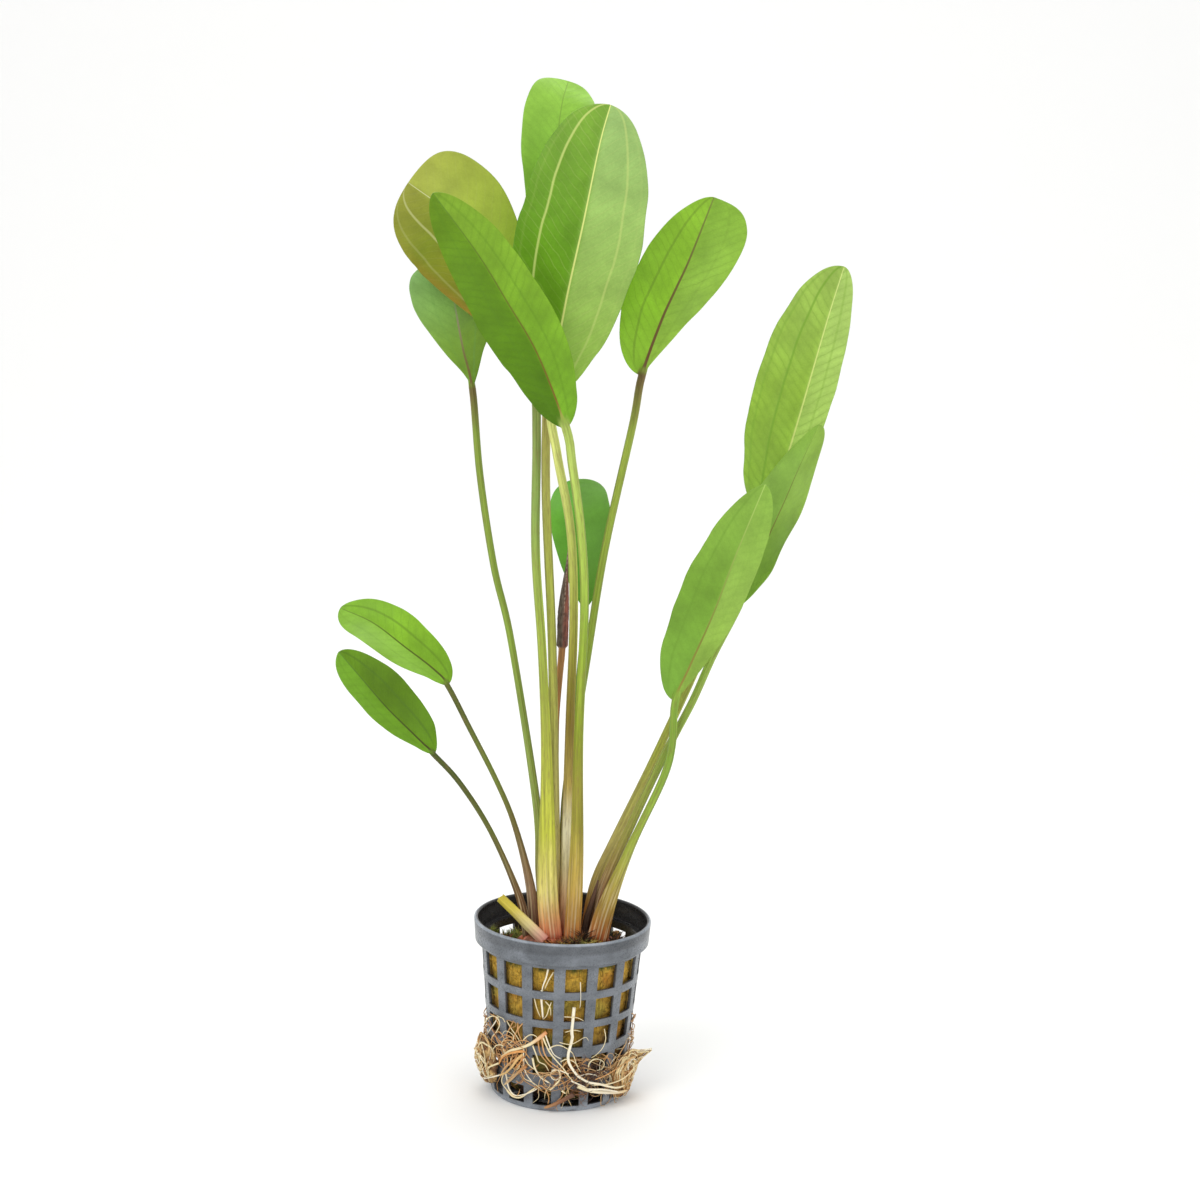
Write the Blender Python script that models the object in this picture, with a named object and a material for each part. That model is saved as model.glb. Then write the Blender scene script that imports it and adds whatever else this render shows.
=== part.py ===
"""Potted echinodorus: long-stalked leaves on a short crown, growing from a rockwool plug in a net pot.

Sizes and places are in millimetres and the meshes are built in metres. The origin is the centre of the
pot's underside, +Z is up and the front is -Y. A bearing is an angle round the pot from the front towards
+X. Run it with blender --background --python part.py.
"""

import bisect
import math
from dataclasses import dataclass

import bmesh
import bpy
from mathutils import Vector

MM = 0.001
GAP = 0.3
MAT_GAP = 0.45

# Net pot: a tapered wall with a stepped collar round its mouth
POT_HEIGHT = 56.0
RIM_RADIUS = 27.5
COLLAR_FOOT = 48.7
COLLAR_STEP = 1.9
WALL_TOP_RADIUS = 25.1
WALL_FOOT_RADIUS = 20.7
WALL = 1.0
LIP = 0.6
FLOOR = 1.2
CORNER = 0.8
FLOOR_SLOTS = (9.0, 16.5)
SLOT_COLUMNS = 15
SLOT_ROWS = ((1.8, 7.5), (11.8, 18.4), (21.4, 27.7), (30.0, 37.1), (39.6, 47.3))
# Each column is three equal steps round the pot: two across the slot and one across the bar
STEPS_PER_COLUMN = 3
FIRST_STEP_BEARING = 4.0

# Rockwool plug, a little clear of the wall and drawn in below
PLUG_TOP = 46.4
PLUG_CLEARANCE = 0.6
PLUG_DRAWN_IN_BELOW = 20.0
PLUG_FOOT_RADIUS = 15.0
PLUG_RING_HEIGHTS = (28.7, 38.3, 44.0)
PLUG_TOP_RADII = (22.6, 17.0, 9.0)
PLUG_TOP_SLOPE = 0.1
PLUG_LEVEL_TO = 6.0
PLUG_DENT = 0.18
PLUG_SIDES = 24

# Crown, the short rootstock that carries every stalk
CROWN_CENTRE = (1.0, 0.2)
CROWN_HALF_WIDTH = 15.2
CROWN_HALF_DEPTH = 7.0
CROWN_TOP = 50.0
CROWN_SIDES = 24
FOOT_HEIGHT = CROWN_TOP + GAP

# Leaves
BLADE_THICKNESS = 0.7
STALK_RINGS = 10
BLADE_RINGS = 9
LEAF_SIDES = 8
ROOT_SIDES = 6

GREEN = (0.22, 0.48, 0.05)
DEEP_GREEN = (0.14, 0.36, 0.06)
OLIVE = (0.42, 0.42, 0.06)
DEAD_BROWN = (0.07, 0.03, 0.02)
STALK_YELLOW = (0.62, 0.50, 0.12)
CROWN_PINK = (0.62, 0.33, 0.18)
WOOL = (0.42, 0.27, 0.04)
MOSS = (0.12, 0.16, 0.02)
ROOT_CREAM = (0.78, 0.62, 0.36)
ROOT_TAN = (0.50, 0.26, 0.10)
POT_GREY = (0.13, 0.14, 0.16)
GRAVEL = (0.55, 0.36, 0.10)


@dataclass(frozen=True)
class Half:
    """One half of a blade: its largest width, and how fast it widens from the base and narrows to the tip."""

    width: float
    base_power: float
    tip_power: float

    def at(self, share):
        """Its width from the base at 0 to the tip at 1."""
        widest = self.base_power / (self.base_power + self.tip_power)
        rise = (share / widest) ** self.base_power
        return self.width * rise * ((1 - share) / (1 - widest)) ** self.tip_power


@dataclass(frozen=True)
class Leaf:
    """One leaf. Roll 0 shows its upper side to the front and 180 its underside.

    Its right and left halves are named as its upper side is seen with the tip up.
    """

    name: str
    foot: tuple
    foot_size: tuple
    stalk: tuple
    stalk_radius: float
    midrib: tuple
    right: Half
    left: Half
    roll: float
    fold: float
    twist: float = 0.0
    colour: tuple = GREEN


LEAVES = (
    Leaf(
        "leaf_tall_back",
        foot=(-3.7, 0.9),
        foot_size=(1.9, 1.5),
        stalk=((-3.3, 0.5, 66), (-3.6, 0.4, 86), (-6, 1, 140), (-9.5, 6, 186), (-10.3, 10.5, 211)),
        stalk_radius=1.3,
        midrib=((-10.4, 14, 230), (-10.2, 18, 262), (-10, 23, 291), (-9, 29, 304), (-7.4, 37, 311)),
        right=Half(11.7, 1.0, 0.34),
        left=Half(11.7, 1.2, 0.3),
        roll=0,
        fold=12,
    ),
    Leaf(
        "leaf_tall_centre",
        foot=(0.7, 0.3),
        foot_size=(2.1, 1.5),
        stalk=(
            (0.9, 0.4, 64),
            (0.6, 0.5, 84),
            (0.2, 0, 118),
            (0.2, -0.5, 152),
            (-1.6, -1, 178),
            (-6.4, -2, 201),
        ),
        stalk_radius=1.3,
        midrib=((-9, -3, 218), (-5.6, -5.5, 245), (-1, -6, 270), (3, -2, 293), (5.9, 4, 305)),
        right=Half(20, 0.62, 0.5),
        left=Half(19.4, 0.62, 0.5),
        roll=180,
        fold=12,
    ),
    Leaf(
        "leaf_olive_left",
        foot=(-3.1, -3.4),
        foot_size=(3.3, 1.4),
        stalk=((-4.9, -3.3, 66), (-6.4, -3, 105), (-9, -2.5, 141), (-12, -1, 172), (-12.8, 2.6, 205)),
        stalk_radius=1.3,
        midrib=(
            (-14.4, 5, 222),
            (-21.2, 5.5, 241),
            (-31, 7.5, 258),
            (-41, 10.5, 270.5),
            (-54.5, 16, 279.5),
        ),
        right=Half(20.4, 1.2, 0.4),
        left=Half(18.2, 1.4, 0.36),
        roll=180,
        fold=16,
        colour=OLIVE,
    ),
    Leaf(
        "leaf_front_left",
        foot=(3.1, -3.7),
        foot_size=(2.5, 1.4),
        stalk=((3.6, -4.4, 78), (3, -5, 116), (3.4, -5, 154), (1.6, -5.6, 178), (-1.8, -7, 199)),
        stalk_radius=1.3,
        midrib=((-4, -8, 210), (-12.8, -14, 232), (-21.9, -20, 247.5), (-31, -25, 262), (-44, -30, 279)),
        right=Half(12.5, 0.6, 0.62),
        left=Half(12.5, 0.6, 0.62),
        roll=0,
        fold=28,
    ),
    Leaf(
        "leaf_left",
        foot=(-5.4, 3.9),
        foot_size=(1.5, 1.2),
        stalk=((-7.6, 5.4, 68), (-9.4, 6.8, 90), (-18.9, 9, 141), (-24.9, 10, 164), (-30, 11, 192)),
        stalk_radius=1.05,
        midrib=((-33, 11.6, 218), (-36.3, 14, 230), (-38.7, 17, 240), (-40.5, 20.5, 248), (-42.6, 25, 257)),
        right=Half(15, 1.15, 0.4),
        left=Half(14, 1.4, 0.45),
        roll=0,
        fold=18,
        colour=DEEP_GREEN,
    ),
    Leaf(
        "leaf_right",
        foot=(0.2, 4.2),
        foot_size=(1.6, 1.2),
        stalk=((-0.4, 6, 76), (0, 7, 98), (4.6, 9.6, 136), (9, 11, 171), (16, 12, 209)),
        stalk_radius=1.15,
        midrib=((18.2, 12, 224), (23.4, 13.5, 240.5), (27.6, 16, 250.5), (31.5, 19, 259.5), (38.4, 27, 278)),
        right=Half(14.6, 1.1, 0.3),
        left=Half(14.4, 0.5, 0.6),
        roll=-8,
        fold=10,
    ),
    Leaf(
        "leaf_far_right",
        foot=(7.4, 2.6),
        foot_size=(1.8, 1.4),
        stalk=((9.8, 3, 66), (15.2, 3.4, 80), (28, 4.6, 110), (41, 7, 142), (49, 9.4, 166)),
        stalk_radius=1.2,
        midrib=((58, 12, 180), (62.4, 14.4, 196), (67.2, 17.6, 214), (74.4, 23.2, 242), (79.2, 28, 258.5)),
        right=Half(16.8, 0.52, 0.5),
        left=Half(9.4, 0.52, 0.5),
        roll=180,
        fold=16,
    ),
    Leaf(
        "leaf_low_right_back",
        foot=(9.8, 0.1),
        foot_size=(1.9, 1.3),
        stalk=((11.8, -1, 65), (20.6, -1.5, 88), (30.6, -2, 112), (37.5, -2, 127), (43, -1.4, 141)),
        stalk_radius=1.15,
        midrib=((50, 0, 156), (54.3, 0, 168), (62.2, 1, 187.5), (66.6, 3, 198.6), (72.6, 8, 212)),
        right=Half(11.6, 0.9, 0.5),
        left=Half(12, 0.7, 0.5),
        roll=-32,
        twist=-42,
        fold=14,
        colour=DEEP_GREEN,
    ),
    Leaf(
        "leaf_low_right_front",
        foot=(10.7, -4),
        foot_size=(3.2, 1.4),
        stalk=((13.6, -4.3, 62), (20.6, -5.2, 82), (29.2, -6, 103), (31.6, -6.1, 114)),
        stalk_radius=1.15,
        midrib=(
            (32, -6.3, 127.5),
            (36, -7.6, 139),
            (42.2, -9.6, 155.5),
            (48.3, -12.4, 175),
            (55.6, -17.5, 197),
        ),
        right=Half(9.6, 1.0, 0.6),
        left=Half(12.8, 0.5, 0.68),
        roll=-22,
        fold=22,
    ),
    Leaf(
        "leaf_inner_back",
        foot=(3.6, 4.4),
        foot_size=(1.2, 1.1),
        stalk=((2.6, 6.6, 72), (1.8, 9, 92), (1.8, 11.5, 118)),
        stalk_radius=0.9,
        midrib=((3.4, 14, 151), (2.2, 19, 166), (0.9, 26, 178), (-0.6, 38, 187.8)),
        right=Half(10, 0.75, 0.36),
        left=Half(10, 0.75, 0.36),
        roll=0,
        fold=10,
        colour=DEEP_GREEN,
    ),
    Leaf(
        "leaf_small_upper_left",
        foot=(-8.6, 1.7),
        foot_size=(1.8, 1.2),
        stalk=((-10.4, 3.8, 64), (-15.9, 6, 83), (-22, 6.5, 97), (-31, 6.2, 114)),
        stalk_radius=0.8,
        midrib=((-38, 6, 127), (-42.6, 6.8, 131.8), (-51.8, 9, 138), (-62, 12.2, 144.5), (-72.6, 16, 148)),
        right=Half(9.8, 0.5, 0.5),
        left=Half(9.6, 0.75, 0.5),
        roll=42,
        fold=20,
    ),
    Leaf(
        "leaf_small_lower_left",
        foot=(-10.8, -0.8),
        foot_size=(1.4, 1.2),
        stalk=((-13.6, -0.7, 62), (-23.1, -1, 83), (-32.9, -3, 98.5)),
        stalk_radius=0.8,
        midrib=(
            (-41, -4, 107.4),
            (-47.4, -5.5, 114),
            (-55.4, -7.8, 122.4),
            (-63, -11, 132),
            (-69.8, -15, 141),
        ),
        right=Half(10.6, 0.5, 0.6),
        left=Half(8.7, 0.9, 0.5),
        roll=46,
        fold=20,
    ),
)

# Dead leaf: a thin brown stalk whose blade has rolled up
DEAD_FOOT = (-2.6, 4.0)
DEAD_STALK = ((-3, 4.6, 80), (-3.8, 5, 110), (-3.9, 5.2, 120), (-3.5, 5.3, 132))
DEAD_ROLL = ((-3.1, 5.4, 140), (-3.1, 5.4, 150), (-2.7, 5.3, 161), (-2.2, 5.6, 171.5))
DEAD_STALK_RADIUS = 0.8
DEAD_NECK_RADIUS = 1.15
DEAD_ROLL_RADIUS = 1.85
DEAD_ROLL_RINGS = (0.0, 0.05, 0.2, 0.36, 0.52, 0.68, 0.84, 1.0)

# Stump of a cut stalk, leaning out to the left, and a dry sheath between the stalks on the right
CUT_STALK = ((-5.4, -7, 50.3), (-9.6, -6, 54), (-14.6, -3.6, 58), (-19.4, -1, 61.6))
CUT_STALK_RADII = (1.9, 1.8, 1.6, 1.5)
DRY_SHEATH = ((6.9, -1.8, 50.3), (7.6, -2, 56.5), (9.2, -2.4, 63), (10.6, -2.8, 69))
DRY_SHEATH_RADII = (1.1, 1.1, 0.8, 0.25)

# Loose bits on the plug: centre and half sizes
MOSS_TUFT = ((-15.5, 8.5, 48.2), (4.5, 3.4, 1.3))
GRAVEL_BIT = ((16.8, 4.6, 48.8), (1.3, 1.2, 1.8))


@dataclass(frozen=True)
class Root:
    """A root that shows outside the pot. Its points are bearing, height and distance out from the wall."""

    name: str
    radius: float
    points: tuple
    colour: tuple = ROOT_CREAM


ROOTS = (
    Root(
        "root_left_main",
        0.7,
        (
            (-12, 26.4, -0.5),
            (-15, 24.6, 0.2),
            (-20, 22.4, 1.1),
            (-29, 20.4, 1.1),
            (-38, 18, 1.1),
            (-47, 15.4, 1.2),
        ),
    ),
    Root(
        "root_centre_main",
        0.65,
        (
            (11, 35, -0.5),
            (10, 32.4, 0.1),
            (10, 29.4, 1.05),
            (10, 26, 1.0),
            (9, 21, 1.0),
            (9, 17, 1.1),
            (13, 13.6, 1.4),
            (20, 10.8, 1.6),
            (30, 8.9, 1.7),
            (42, 7.9, 2.5),
            (57, 6.6, 3.6),
        ),
    ),
    Root(
        "root_right_low",
        0.65,
        ((17, 9, 1.0), (28, 6.9, 1.1), (42, 5.6, 2.0), (54, 4.6, 3.0), (64, 4.0, 3.4)),
    ),
    Root(
        "root_left_upper",
        0.5,
        ((-26, 17.6, 0.9), (-34, 15.8, 0.95), (-43, 12.6, 1.0), (-49, 9.4, 1.2)),
        ROOT_TAN,
    ),
    Root(
        "root_left_lower",
        0.5,
        ((-24, 14.6, 0.9), (-31, 12, 0.9), (-39, 8.6, 0.9), (-46, 6.2, 1.1)),
        ROOT_TAN,
    ),
    Root("root_brown", 0.8, ((14, 6.4, 1.2), (6, 4.6, 1.2), (-2, 2.8, 1.2), (-9, 1.6, 1.2)), ROOT_TAN),
    Root(
        "root_arc_low",
        0.35,
        ((-44, 4.6, 0.7), (-38, 3.2, 0.7), (-30, 3.6, 0.7), (-21, 6.4, 0.7), (-14, 8.6, 0.7)),
    ),
    Root("root_arc_middle", 0.35, ((-19, 17.6, 0.7), (-17, 14.2, 0.7), (-12, 11.4, 0.7), (-5, 9.8, 0.7))),
    Root(
        "root_hook",
        0.35,
        ((-5, 7.6, 0.7), (-1, 9.2, 0.7), (3, 11.6, 0.7), (1, 14.4, 0.7), (-4, 14.2, 0.7)),
    ),
)


@dataclass(frozen=True)
class RootMat:
    """A clump of fine roots against the wall, by its outline of bearing, height and distance out."""

    name: str
    centre: tuple
    thickness: float
    outline: tuple


ROOT_MATS = (
    RootMat(
        "root_mat_left",
        (-78, 11),
        4.2,
        (
            (-52, 12, 0.5),
            (-56, 17, 0.6),
            (-68, 19.6, 0.8),
            (-82, 18.6, 1.0),
            (-98, 16, 0.6),
            (-106, 10, 0.4),
            (-96, 4.6, 0.6),
            (-82, 3.4, 1.0),
            (-68, 3.2, 0.8),
            (-56, 5.4, 0.5),
        ),
    ),
    RootMat(
        "root_mat_right",
        (72, 9.4),
        2.6,
        (
            (46, 11, 0.5),
            (54, 15.4, 0.6),
            (66, 17.2, 1.0),
            (78, 15.6, 3.4),
            (88, 14.6, 6.8),
            (94, 10, 3.0),
            (92, 5, 1.0),
            (80, 2, 0.8),
            (66, 0.8, 0.7),
            (54, 2, 0.5),
        ),
    ),
)


def wall_radius(height):
    """Outer radius of the tapered wall."""
    return WALL_FOOT_RADIUS + (WALL_TOP_RADIUS - WALL_FOOT_RADIUS) * height / COLLAR_FOOT


def round_pot(radius, bearing, height):
    """The point at a bearing in degrees, counted from the front towards +X."""
    turn = math.radians(bearing)
    return Vector((radius * math.sin(turn), -radius * math.cos(turn), height))


def on_wall(bearing, height, out):
    """The point that stands a distance out from the outside of the wall."""
    return round_pot(wall_radius(height) + out, bearing, height)


class Route:
    """A smooth line through a few points, read by the distance along it."""

    STEPS = 12

    def __init__(self, knots):
        knots = [Vector(knot) for knot in knots]
        ends = [2 * knots[0] - knots[1], *knots, 2 * knots[-1] - knots[-2]]
        self.points = [knots[0]]
        for before, start, stop, after in zip(ends, ends[1:], ends[2:], ends[3:]):
            for step in range(1, self.STEPS + 1):
                t = step / self.STEPS
                bend = 2 * before - 5 * start + 4 * stop - after
                swing = 3 * start - before - 3 * stop + after
                self.points.append(start + 0.5 * (t * (stop - before) + t * t * bend + t**3 * swing))
        self.reach = [0.0]
        for start, stop in zip(self.points, self.points[1:]):
            self.reach.append(self.reach[-1] + (stop - start).length)
        self.length = self.reach[-1]

    def distance_to(self, knot):
        """Distance from the start to one of the given points."""
        return self.reach[knot * self.STEPS]

    def at(self, distance):
        """The point at a distance along the line."""
        step = min(max(bisect.bisect_right(self.reach, distance), 1), len(self.points) - 1)
        before, after = self.reach[step - 1], self.reach[step]
        return self.points[step - 1].lerp(self.points[step], (distance - before) / (after - before))

    def heading(self, distance):
        """The direction of the line there."""
        near = 0.6
        ahead = self.at(min(distance + near, self.length))
        return (ahead - self.at(max(distance - near, 0.0))).normalized()


def new_material(name, colour, roughness):
    """A plain material of one colour."""
    material = bpy.data.materials.new(name)
    material.use_nodes = True
    shader = material.node_tree.nodes["Principled BSDF"]
    shader.inputs["Base Color"].default_value = (*colour, 1.0)
    shader.inputs["Roughness"].default_value = roughness
    return material


def new_object(name, mesh, colour, roughness=0.5, crease=40.0):
    """Finishes a bmesh as a named object with its own material, its faces turned outwards."""
    bmesh.ops.recalc_face_normals(mesh, faces=mesh.faces)
    bmesh.ops.scale(mesh, vec=(MM, MM, MM), verts=mesh.verts)
    data = bpy.data.meshes.new(name)
    mesh.to_mesh(data)
    mesh.free()
    data.shade_smooth()
    data.set_sharp_from_angle(angle=math.radians(crease))
    data.materials.append(new_material(name, colour, roughness))
    thing = bpy.data.objects.new(name, data)
    bpy.context.scene.collection.objects.link(thing)
    return thing


def loft(mesh, rings, tip=None, start=None):
    """Skins rings of equal count. An end comes to a point where one is given, and is flat otherwise."""
    rings = [[mesh.verts.new(point) for point in ring] for ring in rings]
    for low, high in zip(rings, rings[1:]):
        for a, b, c, d in zip(low, low[1:] + low[:1], high[1:] + high[:1], high):
            mesh.faces.new((a, b, c, d))
    for ring, point in ((rings[0], start), (rings[-1], tip)):
        if point is None:
            mesh.faces.new(ring)
            continue
        centre = mesh.verts.new(point)
        for a, b in zip(ring, ring[1:] + ring[:1]):
            mesh.faces.new((a, b, centre))


def pot_profile():
    """The pot's section from the floor's centre disc to the lip: outside, inside, and if slots follow."""
    inner_slot, outer_slot = FLOOR_SLOTS
    profile = [
        ((inner_slot, 0.0), (inner_slot, FLOOR), True),
        ((outer_slot, 0.0), (outer_slot, FLOOR), False),
        ((WALL_FOOT_RADIUS - WALL, 0.0), (WALL_FOOT_RADIUS - 1.2 * WALL, FLOOR), False),
        ((wall_radius(CORNER), CORNER), (wall_radius(CORNER) - WALL, FLOOR + CORNER / 2), False),
    ]
    for low, high in SLOT_ROWS:
        profile.append(((wall_radius(low), low), (wall_radius(low) - WALL, low), True))
        profile.append(((wall_radius(high), high), (wall_radius(high) - WALL, high), False))
    collar = WALL_TOP_RADIUS + COLLAR_STEP
    step_top = COLLAR_FOOT + WALL
    lip_inside = RIM_RADIUS - 1.3 * WALL
    below_lip = POT_HEIGHT - LIP
    profile += [
        ((WALL_TOP_RADIUS, COLLAR_FOOT), (WALL_TOP_RADIUS - WALL, step_top), False),
        ((collar, COLLAR_FOOT), (collar - WALL, step_top), False),
        ((RIM_RADIUS, below_lip), (lip_inside, below_lip), False),
        ((RIM_RADIUS - LIP / 2, POT_HEIGHT), (lip_inside + LIP / 2, POT_HEIGHT), False),
    ]
    return profile


def make_net_pot():
    """The pot: a skin of quads outside and inside, joined round each slot, the floor disc and the lip."""
    mesh = bmesh.new()
    profile = pot_profile()
    steps = SLOT_COLUMNS * STEPS_PER_COLUMN
    bearings = [FIRST_STEP_BEARING + 360 / steps * step for step in range(steps)]

    def skin(places):
        rings = [[round_pot(radius, turn, height) for turn in bearings] for radius, height in places]
        return [[mesh.verts.new(place) for place in ring] for ring in rings]

    outside = skin([outer for outer, _, _ in profile])
    inside = skin([inner for _, inner, _ in profile])

    def is_open(band, step):
        return profile[band][2] and step % STEPS_PER_COLUMN != STEPS_PER_COLUMN - 1

    def wall_between(start, stop):
        """A face through the wall between two grid places, each given as band and step."""
        (low, here), (high, there) = start, stop
        mesh.faces.new((outside[low][here], outside[high][there], inside[high][there], inside[low][here]))

    for band in range(len(profile) - 1):
        for step in range(steps):
            after = (step + 1) % steps
            if is_open(band, step) != is_open(band, after):
                wall_between((band, after), (band + 1, after))
            if is_open(band, step):
                wall_between((band, step), (band, after))
                wall_between((band + 1, step), (band + 1, after))
                continue
            for side in (outside, inside):
                mesh.faces.new(
                    (side[band][step], side[band][after], side[band + 1][after], side[band + 1][step])
                )
    for step in range(steps):
        wall_between((-1, step), (-1, (step + 1) % steps))
    mesh.faces.new(outside[0])
    mesh.faces.new(inside[0])
    return new_object("net_pot", mesh, POT_GREY, roughness=0.45, crease=25.0)


def plug_top(y):
    """Height of the plug's top, which falls away a little towards the back."""
    return PLUG_TOP - PLUG_TOP_SLOPE * max(0.0, y - PLUG_LEVEL_TO)


def make_plug():
    """The rockwool plug: it follows the wall above, and is drawn in and rounded below."""
    mesh = bmesh.new()
    rings = []
    floor = FLOOR + GAP
    for share in (0.0, 0.18, 0.5, 1.0):
        height = floor + (PLUG_DRAWN_IN_BELOW - floor) * share
        full = wall_radius(PLUG_DRAWN_IN_BELOW) - WALL - PLUG_CLEARANCE
        radius = PLUG_FOOT_RADIUS + (full - PLUG_FOOT_RADIUS) * math.sin(math.pi / 2 * share)
        rings.append([(radius, height)] * PLUG_SIDES)
    for height in PLUG_RING_HEIGHTS:
        rings.append([(wall_radius(height) - WALL - PLUG_CLEARANCE, height)] * PLUG_SIDES)
    turns = [360 / PLUG_SIDES * side for side in range(PLUG_SIDES)]
    for radius in PLUG_TOP_RADII:
        rings.append([(radius, plug_top(round_pot(radius, turn, 0).y)) for turn in turns])
    lumpy = []
    for row, ring in enumerate(rings):
        points = []
        for turn, (radius, height) in zip(turns, ring):
            dent = PLUG_DENT * (math.sin(math.radians(5 * turn) + 1.9 * row) - 1)
            points.append(round_pot(radius + dent, turn, height))
        lumpy.append(points)
    loft(mesh, lumpy, tip=(0, 0, PLUG_TOP), start=(0, 0, floor))
    return new_object("rockwool_plug", mesh, WOOL, roughness=0.95, crease=60.0)


def make_crown():
    """The rootstock: a low oval lump on the plug, flat on top where the stalks stand."""
    mesh = bmesh.new()
    low = PLUG_TOP + GAP
    rings = []
    for share, spread in ((0.0, 0.86), (0.35, 1.0), (0.7, 0.97), (1.0, 0.84)):
        height = low + (CROWN_TOP - low) * share
        ring = []
        for side in range(CROWN_SIDES):
            turn = 2 * math.pi * side / CROWN_SIDES
            lump = spread * (1 + 0.05 * math.sin(3 * turn + 2 * share) + 0.03 * math.sin(7 * turn))
            x = CROWN_CENTRE[0] + CROWN_HALF_WIDTH * lump * math.cos(turn)
            y = CROWN_CENTRE[1] + CROWN_HALF_DEPTH * lump * math.sin(turn)
            ring.append((x, y, height))
        rings.append(ring)
    loft(mesh, rings)
    return new_object("crown", mesh, CROWN_PINK, roughness=0.6)


def leaf_section(centre, heading, roll, half_widths, half_depth, fold):
    """One closed ring across a leaf: round where it is stalk, and a thin folded lens where it is blade."""
    front = Vector((0, -1, 0))
    face = (front - front.dot(heading) * heading).normalized()
    across = heading.cross(face)
    upper = face * math.cos(roll) + across * math.sin(roll)
    side = across * math.cos(roll) - face * math.sin(roll)
    ring = []
    for corner in range(LEAF_SIDES):
        turn = 2 * math.pi * corner / LEAF_SIDES
        reach = half_widths[math.cos(turn) < 0] * math.cos(turn)
        lift = abs(reach) * math.sin(fold) + half_depth * math.sin(turn)
        ring.append(centre + side * reach * math.cos(fold) + upper * lift)
    return ring


def smooth_share(value):
    """Eases from 0 to 1 with level ends."""
    value = min(max(value, 0.0), 1.0)
    return value * value * (3 - 2 * value)


def leaf_rings(leaf):
    """The rings of a leaf from its foot to just below its tip, and the tip."""
    foot = Vector((*leaf.foot, FOOT_HEIGHT))
    route = Route((foot, *leaf.stalk, *leaf.midrib))
    base = route.distance_to(len(leaf.stalk) + 1)
    blade = route.length - base
    rest = 180.0 if abs(leaf.roll) > 90 else 0.0
    rings = []
    for step in range(STALK_RINGS):
        along = base * (step / STALK_RINGS) ** 1.25
        sheath = (1 - smooth_share(along / base * 1.6)) ** 2
        half_width = leaf.stalk_radius + (leaf.foot_size[0] - leaf.stalk_radius) * sheath
        half_depth = leaf.stalk_radius + (leaf.foot_size[1] - leaf.stalk_radius) * sheath
        roll = math.radians(rest + (leaf.roll - rest) * smooth_share(along / base))
        heading = route.heading(along) if step else Vector((0, 0, 1))
        rings.append(leaf_section(route.at(along), heading, roll, (half_width,) * 2, half_depth, 0.0))
    for step in range(BLADE_RINGS):
        share = (1 - math.cos(math.pi * (step + 0.5) / (BLADE_RINGS + 0.5))) / 2
        along = base + blade * share
        halves = [max(leaf.stalk_radius * (1 - share), half.at(share)) for half in (leaf.right, leaf.left)]
        thin = smooth_share(share / 0.2)
        half_depth = leaf.stalk_radius + (BLADE_THICKNESS / 2 - leaf.stalk_radius) * thin
        roll = math.radians(leaf.roll + leaf.twist * share)
        fold = math.radians(leaf.fold) * smooth_share(share / 0.15)
        rings.append(leaf_section(route.at(along), route.heading(along), roll, halves, half_depth, fold))
    return rings, route.at(route.length)


def make_leaf(leaf):
    """One leaf, stalk and blade grown as one."""
    mesh = bmesh.new()
    rings, tip = leaf_rings(leaf)
    loft(mesh, rings, tip=tip)
    return new_object(leaf.name, mesh, leaf.colour, roughness=0.4, crease=80.0)


def evenly(count):
    """Shares from 0 to 1 in even steps."""
    return [step / (count - 1) for step in range(count)]


def round_rings(route, radius_at, shares, sides, first_heading=None):
    """Round rings along a route at shares of its length."""
    rings = []
    for share in shares:
        along = route.length * share
        heading = route.heading(along)
        if share == 0 and first_heading:
            heading = Vector(first_heading)
        level = Vector((0, 1, 0)) if abs(heading.y) < 0.9 else Vector((1, 0, 0))
        aside = heading.cross(level).normalized()
        up = heading.cross(aside)
        radius = radius_at(share)
        turns = [2 * math.pi * side / sides for side in range(sides)]
        rings.append([route.at(along) + radius * (aside * math.cos(a) + up * math.sin(a)) for a in turns])
    return rings


def make_dead_leaf():
    """The dead leaf: a thin stalk, and a blade rolled up to a blunt roll that ends in a point."""
    foot = (*DEAD_FOOT, FOOT_HEIGHT)
    route = Route((foot, *DEAD_STALK, *DEAD_ROLL))
    roll_start = route.distance_to(len(DEAD_STALK) + 1) / route.length
    neck = 0.2

    def radius_at(share):
        widening = smooth_share(1 - (roll_start - share) / neck)
        stalk = DEAD_STALK_RADIUS + (DEAD_NECK_RADIUS - DEAD_STALK_RADIUS) * widening
        rolled = (share - roll_start) / (1 - roll_start)
        full = stalk + (DEAD_ROLL_RADIUS - stalk) * smooth_share(rolled / DEAD_ROLL_RINGS[1])
        return full * (1 - 0.85 * smooth_share((rolled - 0.3) / 0.7))

    shares = [roll_start * share for share in evenly(11)[:-1]]
    shares += [roll_start + (1 - roll_start) * share for share in DEAD_ROLL_RINGS]
    mesh = bmesh.new()
    loft(mesh, round_rings(route, radius_at, shares, ROOT_SIDES, first_heading=(0, 0, 1)))
    return new_object("dead_leaf", mesh, DEAD_BROWN, roughness=0.7, crease=80.0)


def make_tapered(name, points, radii, colour):
    """A short round stalk whose radius changes evenly between the given ones."""
    route = Route(points)

    def radius_at(share):
        place = share * (len(radii) - 1)
        low = min(int(place), len(radii) - 2)
        return radii[low] + (radii[low + 1] - radii[low]) * (place - low)

    mesh = bmesh.new()
    loft(mesh, round_rings(route, radius_at, evenly(7), LEAF_SIDES, first_heading=(0, 0, 1)))
    return new_object(name, mesh, colour, roughness=0.6)


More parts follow.
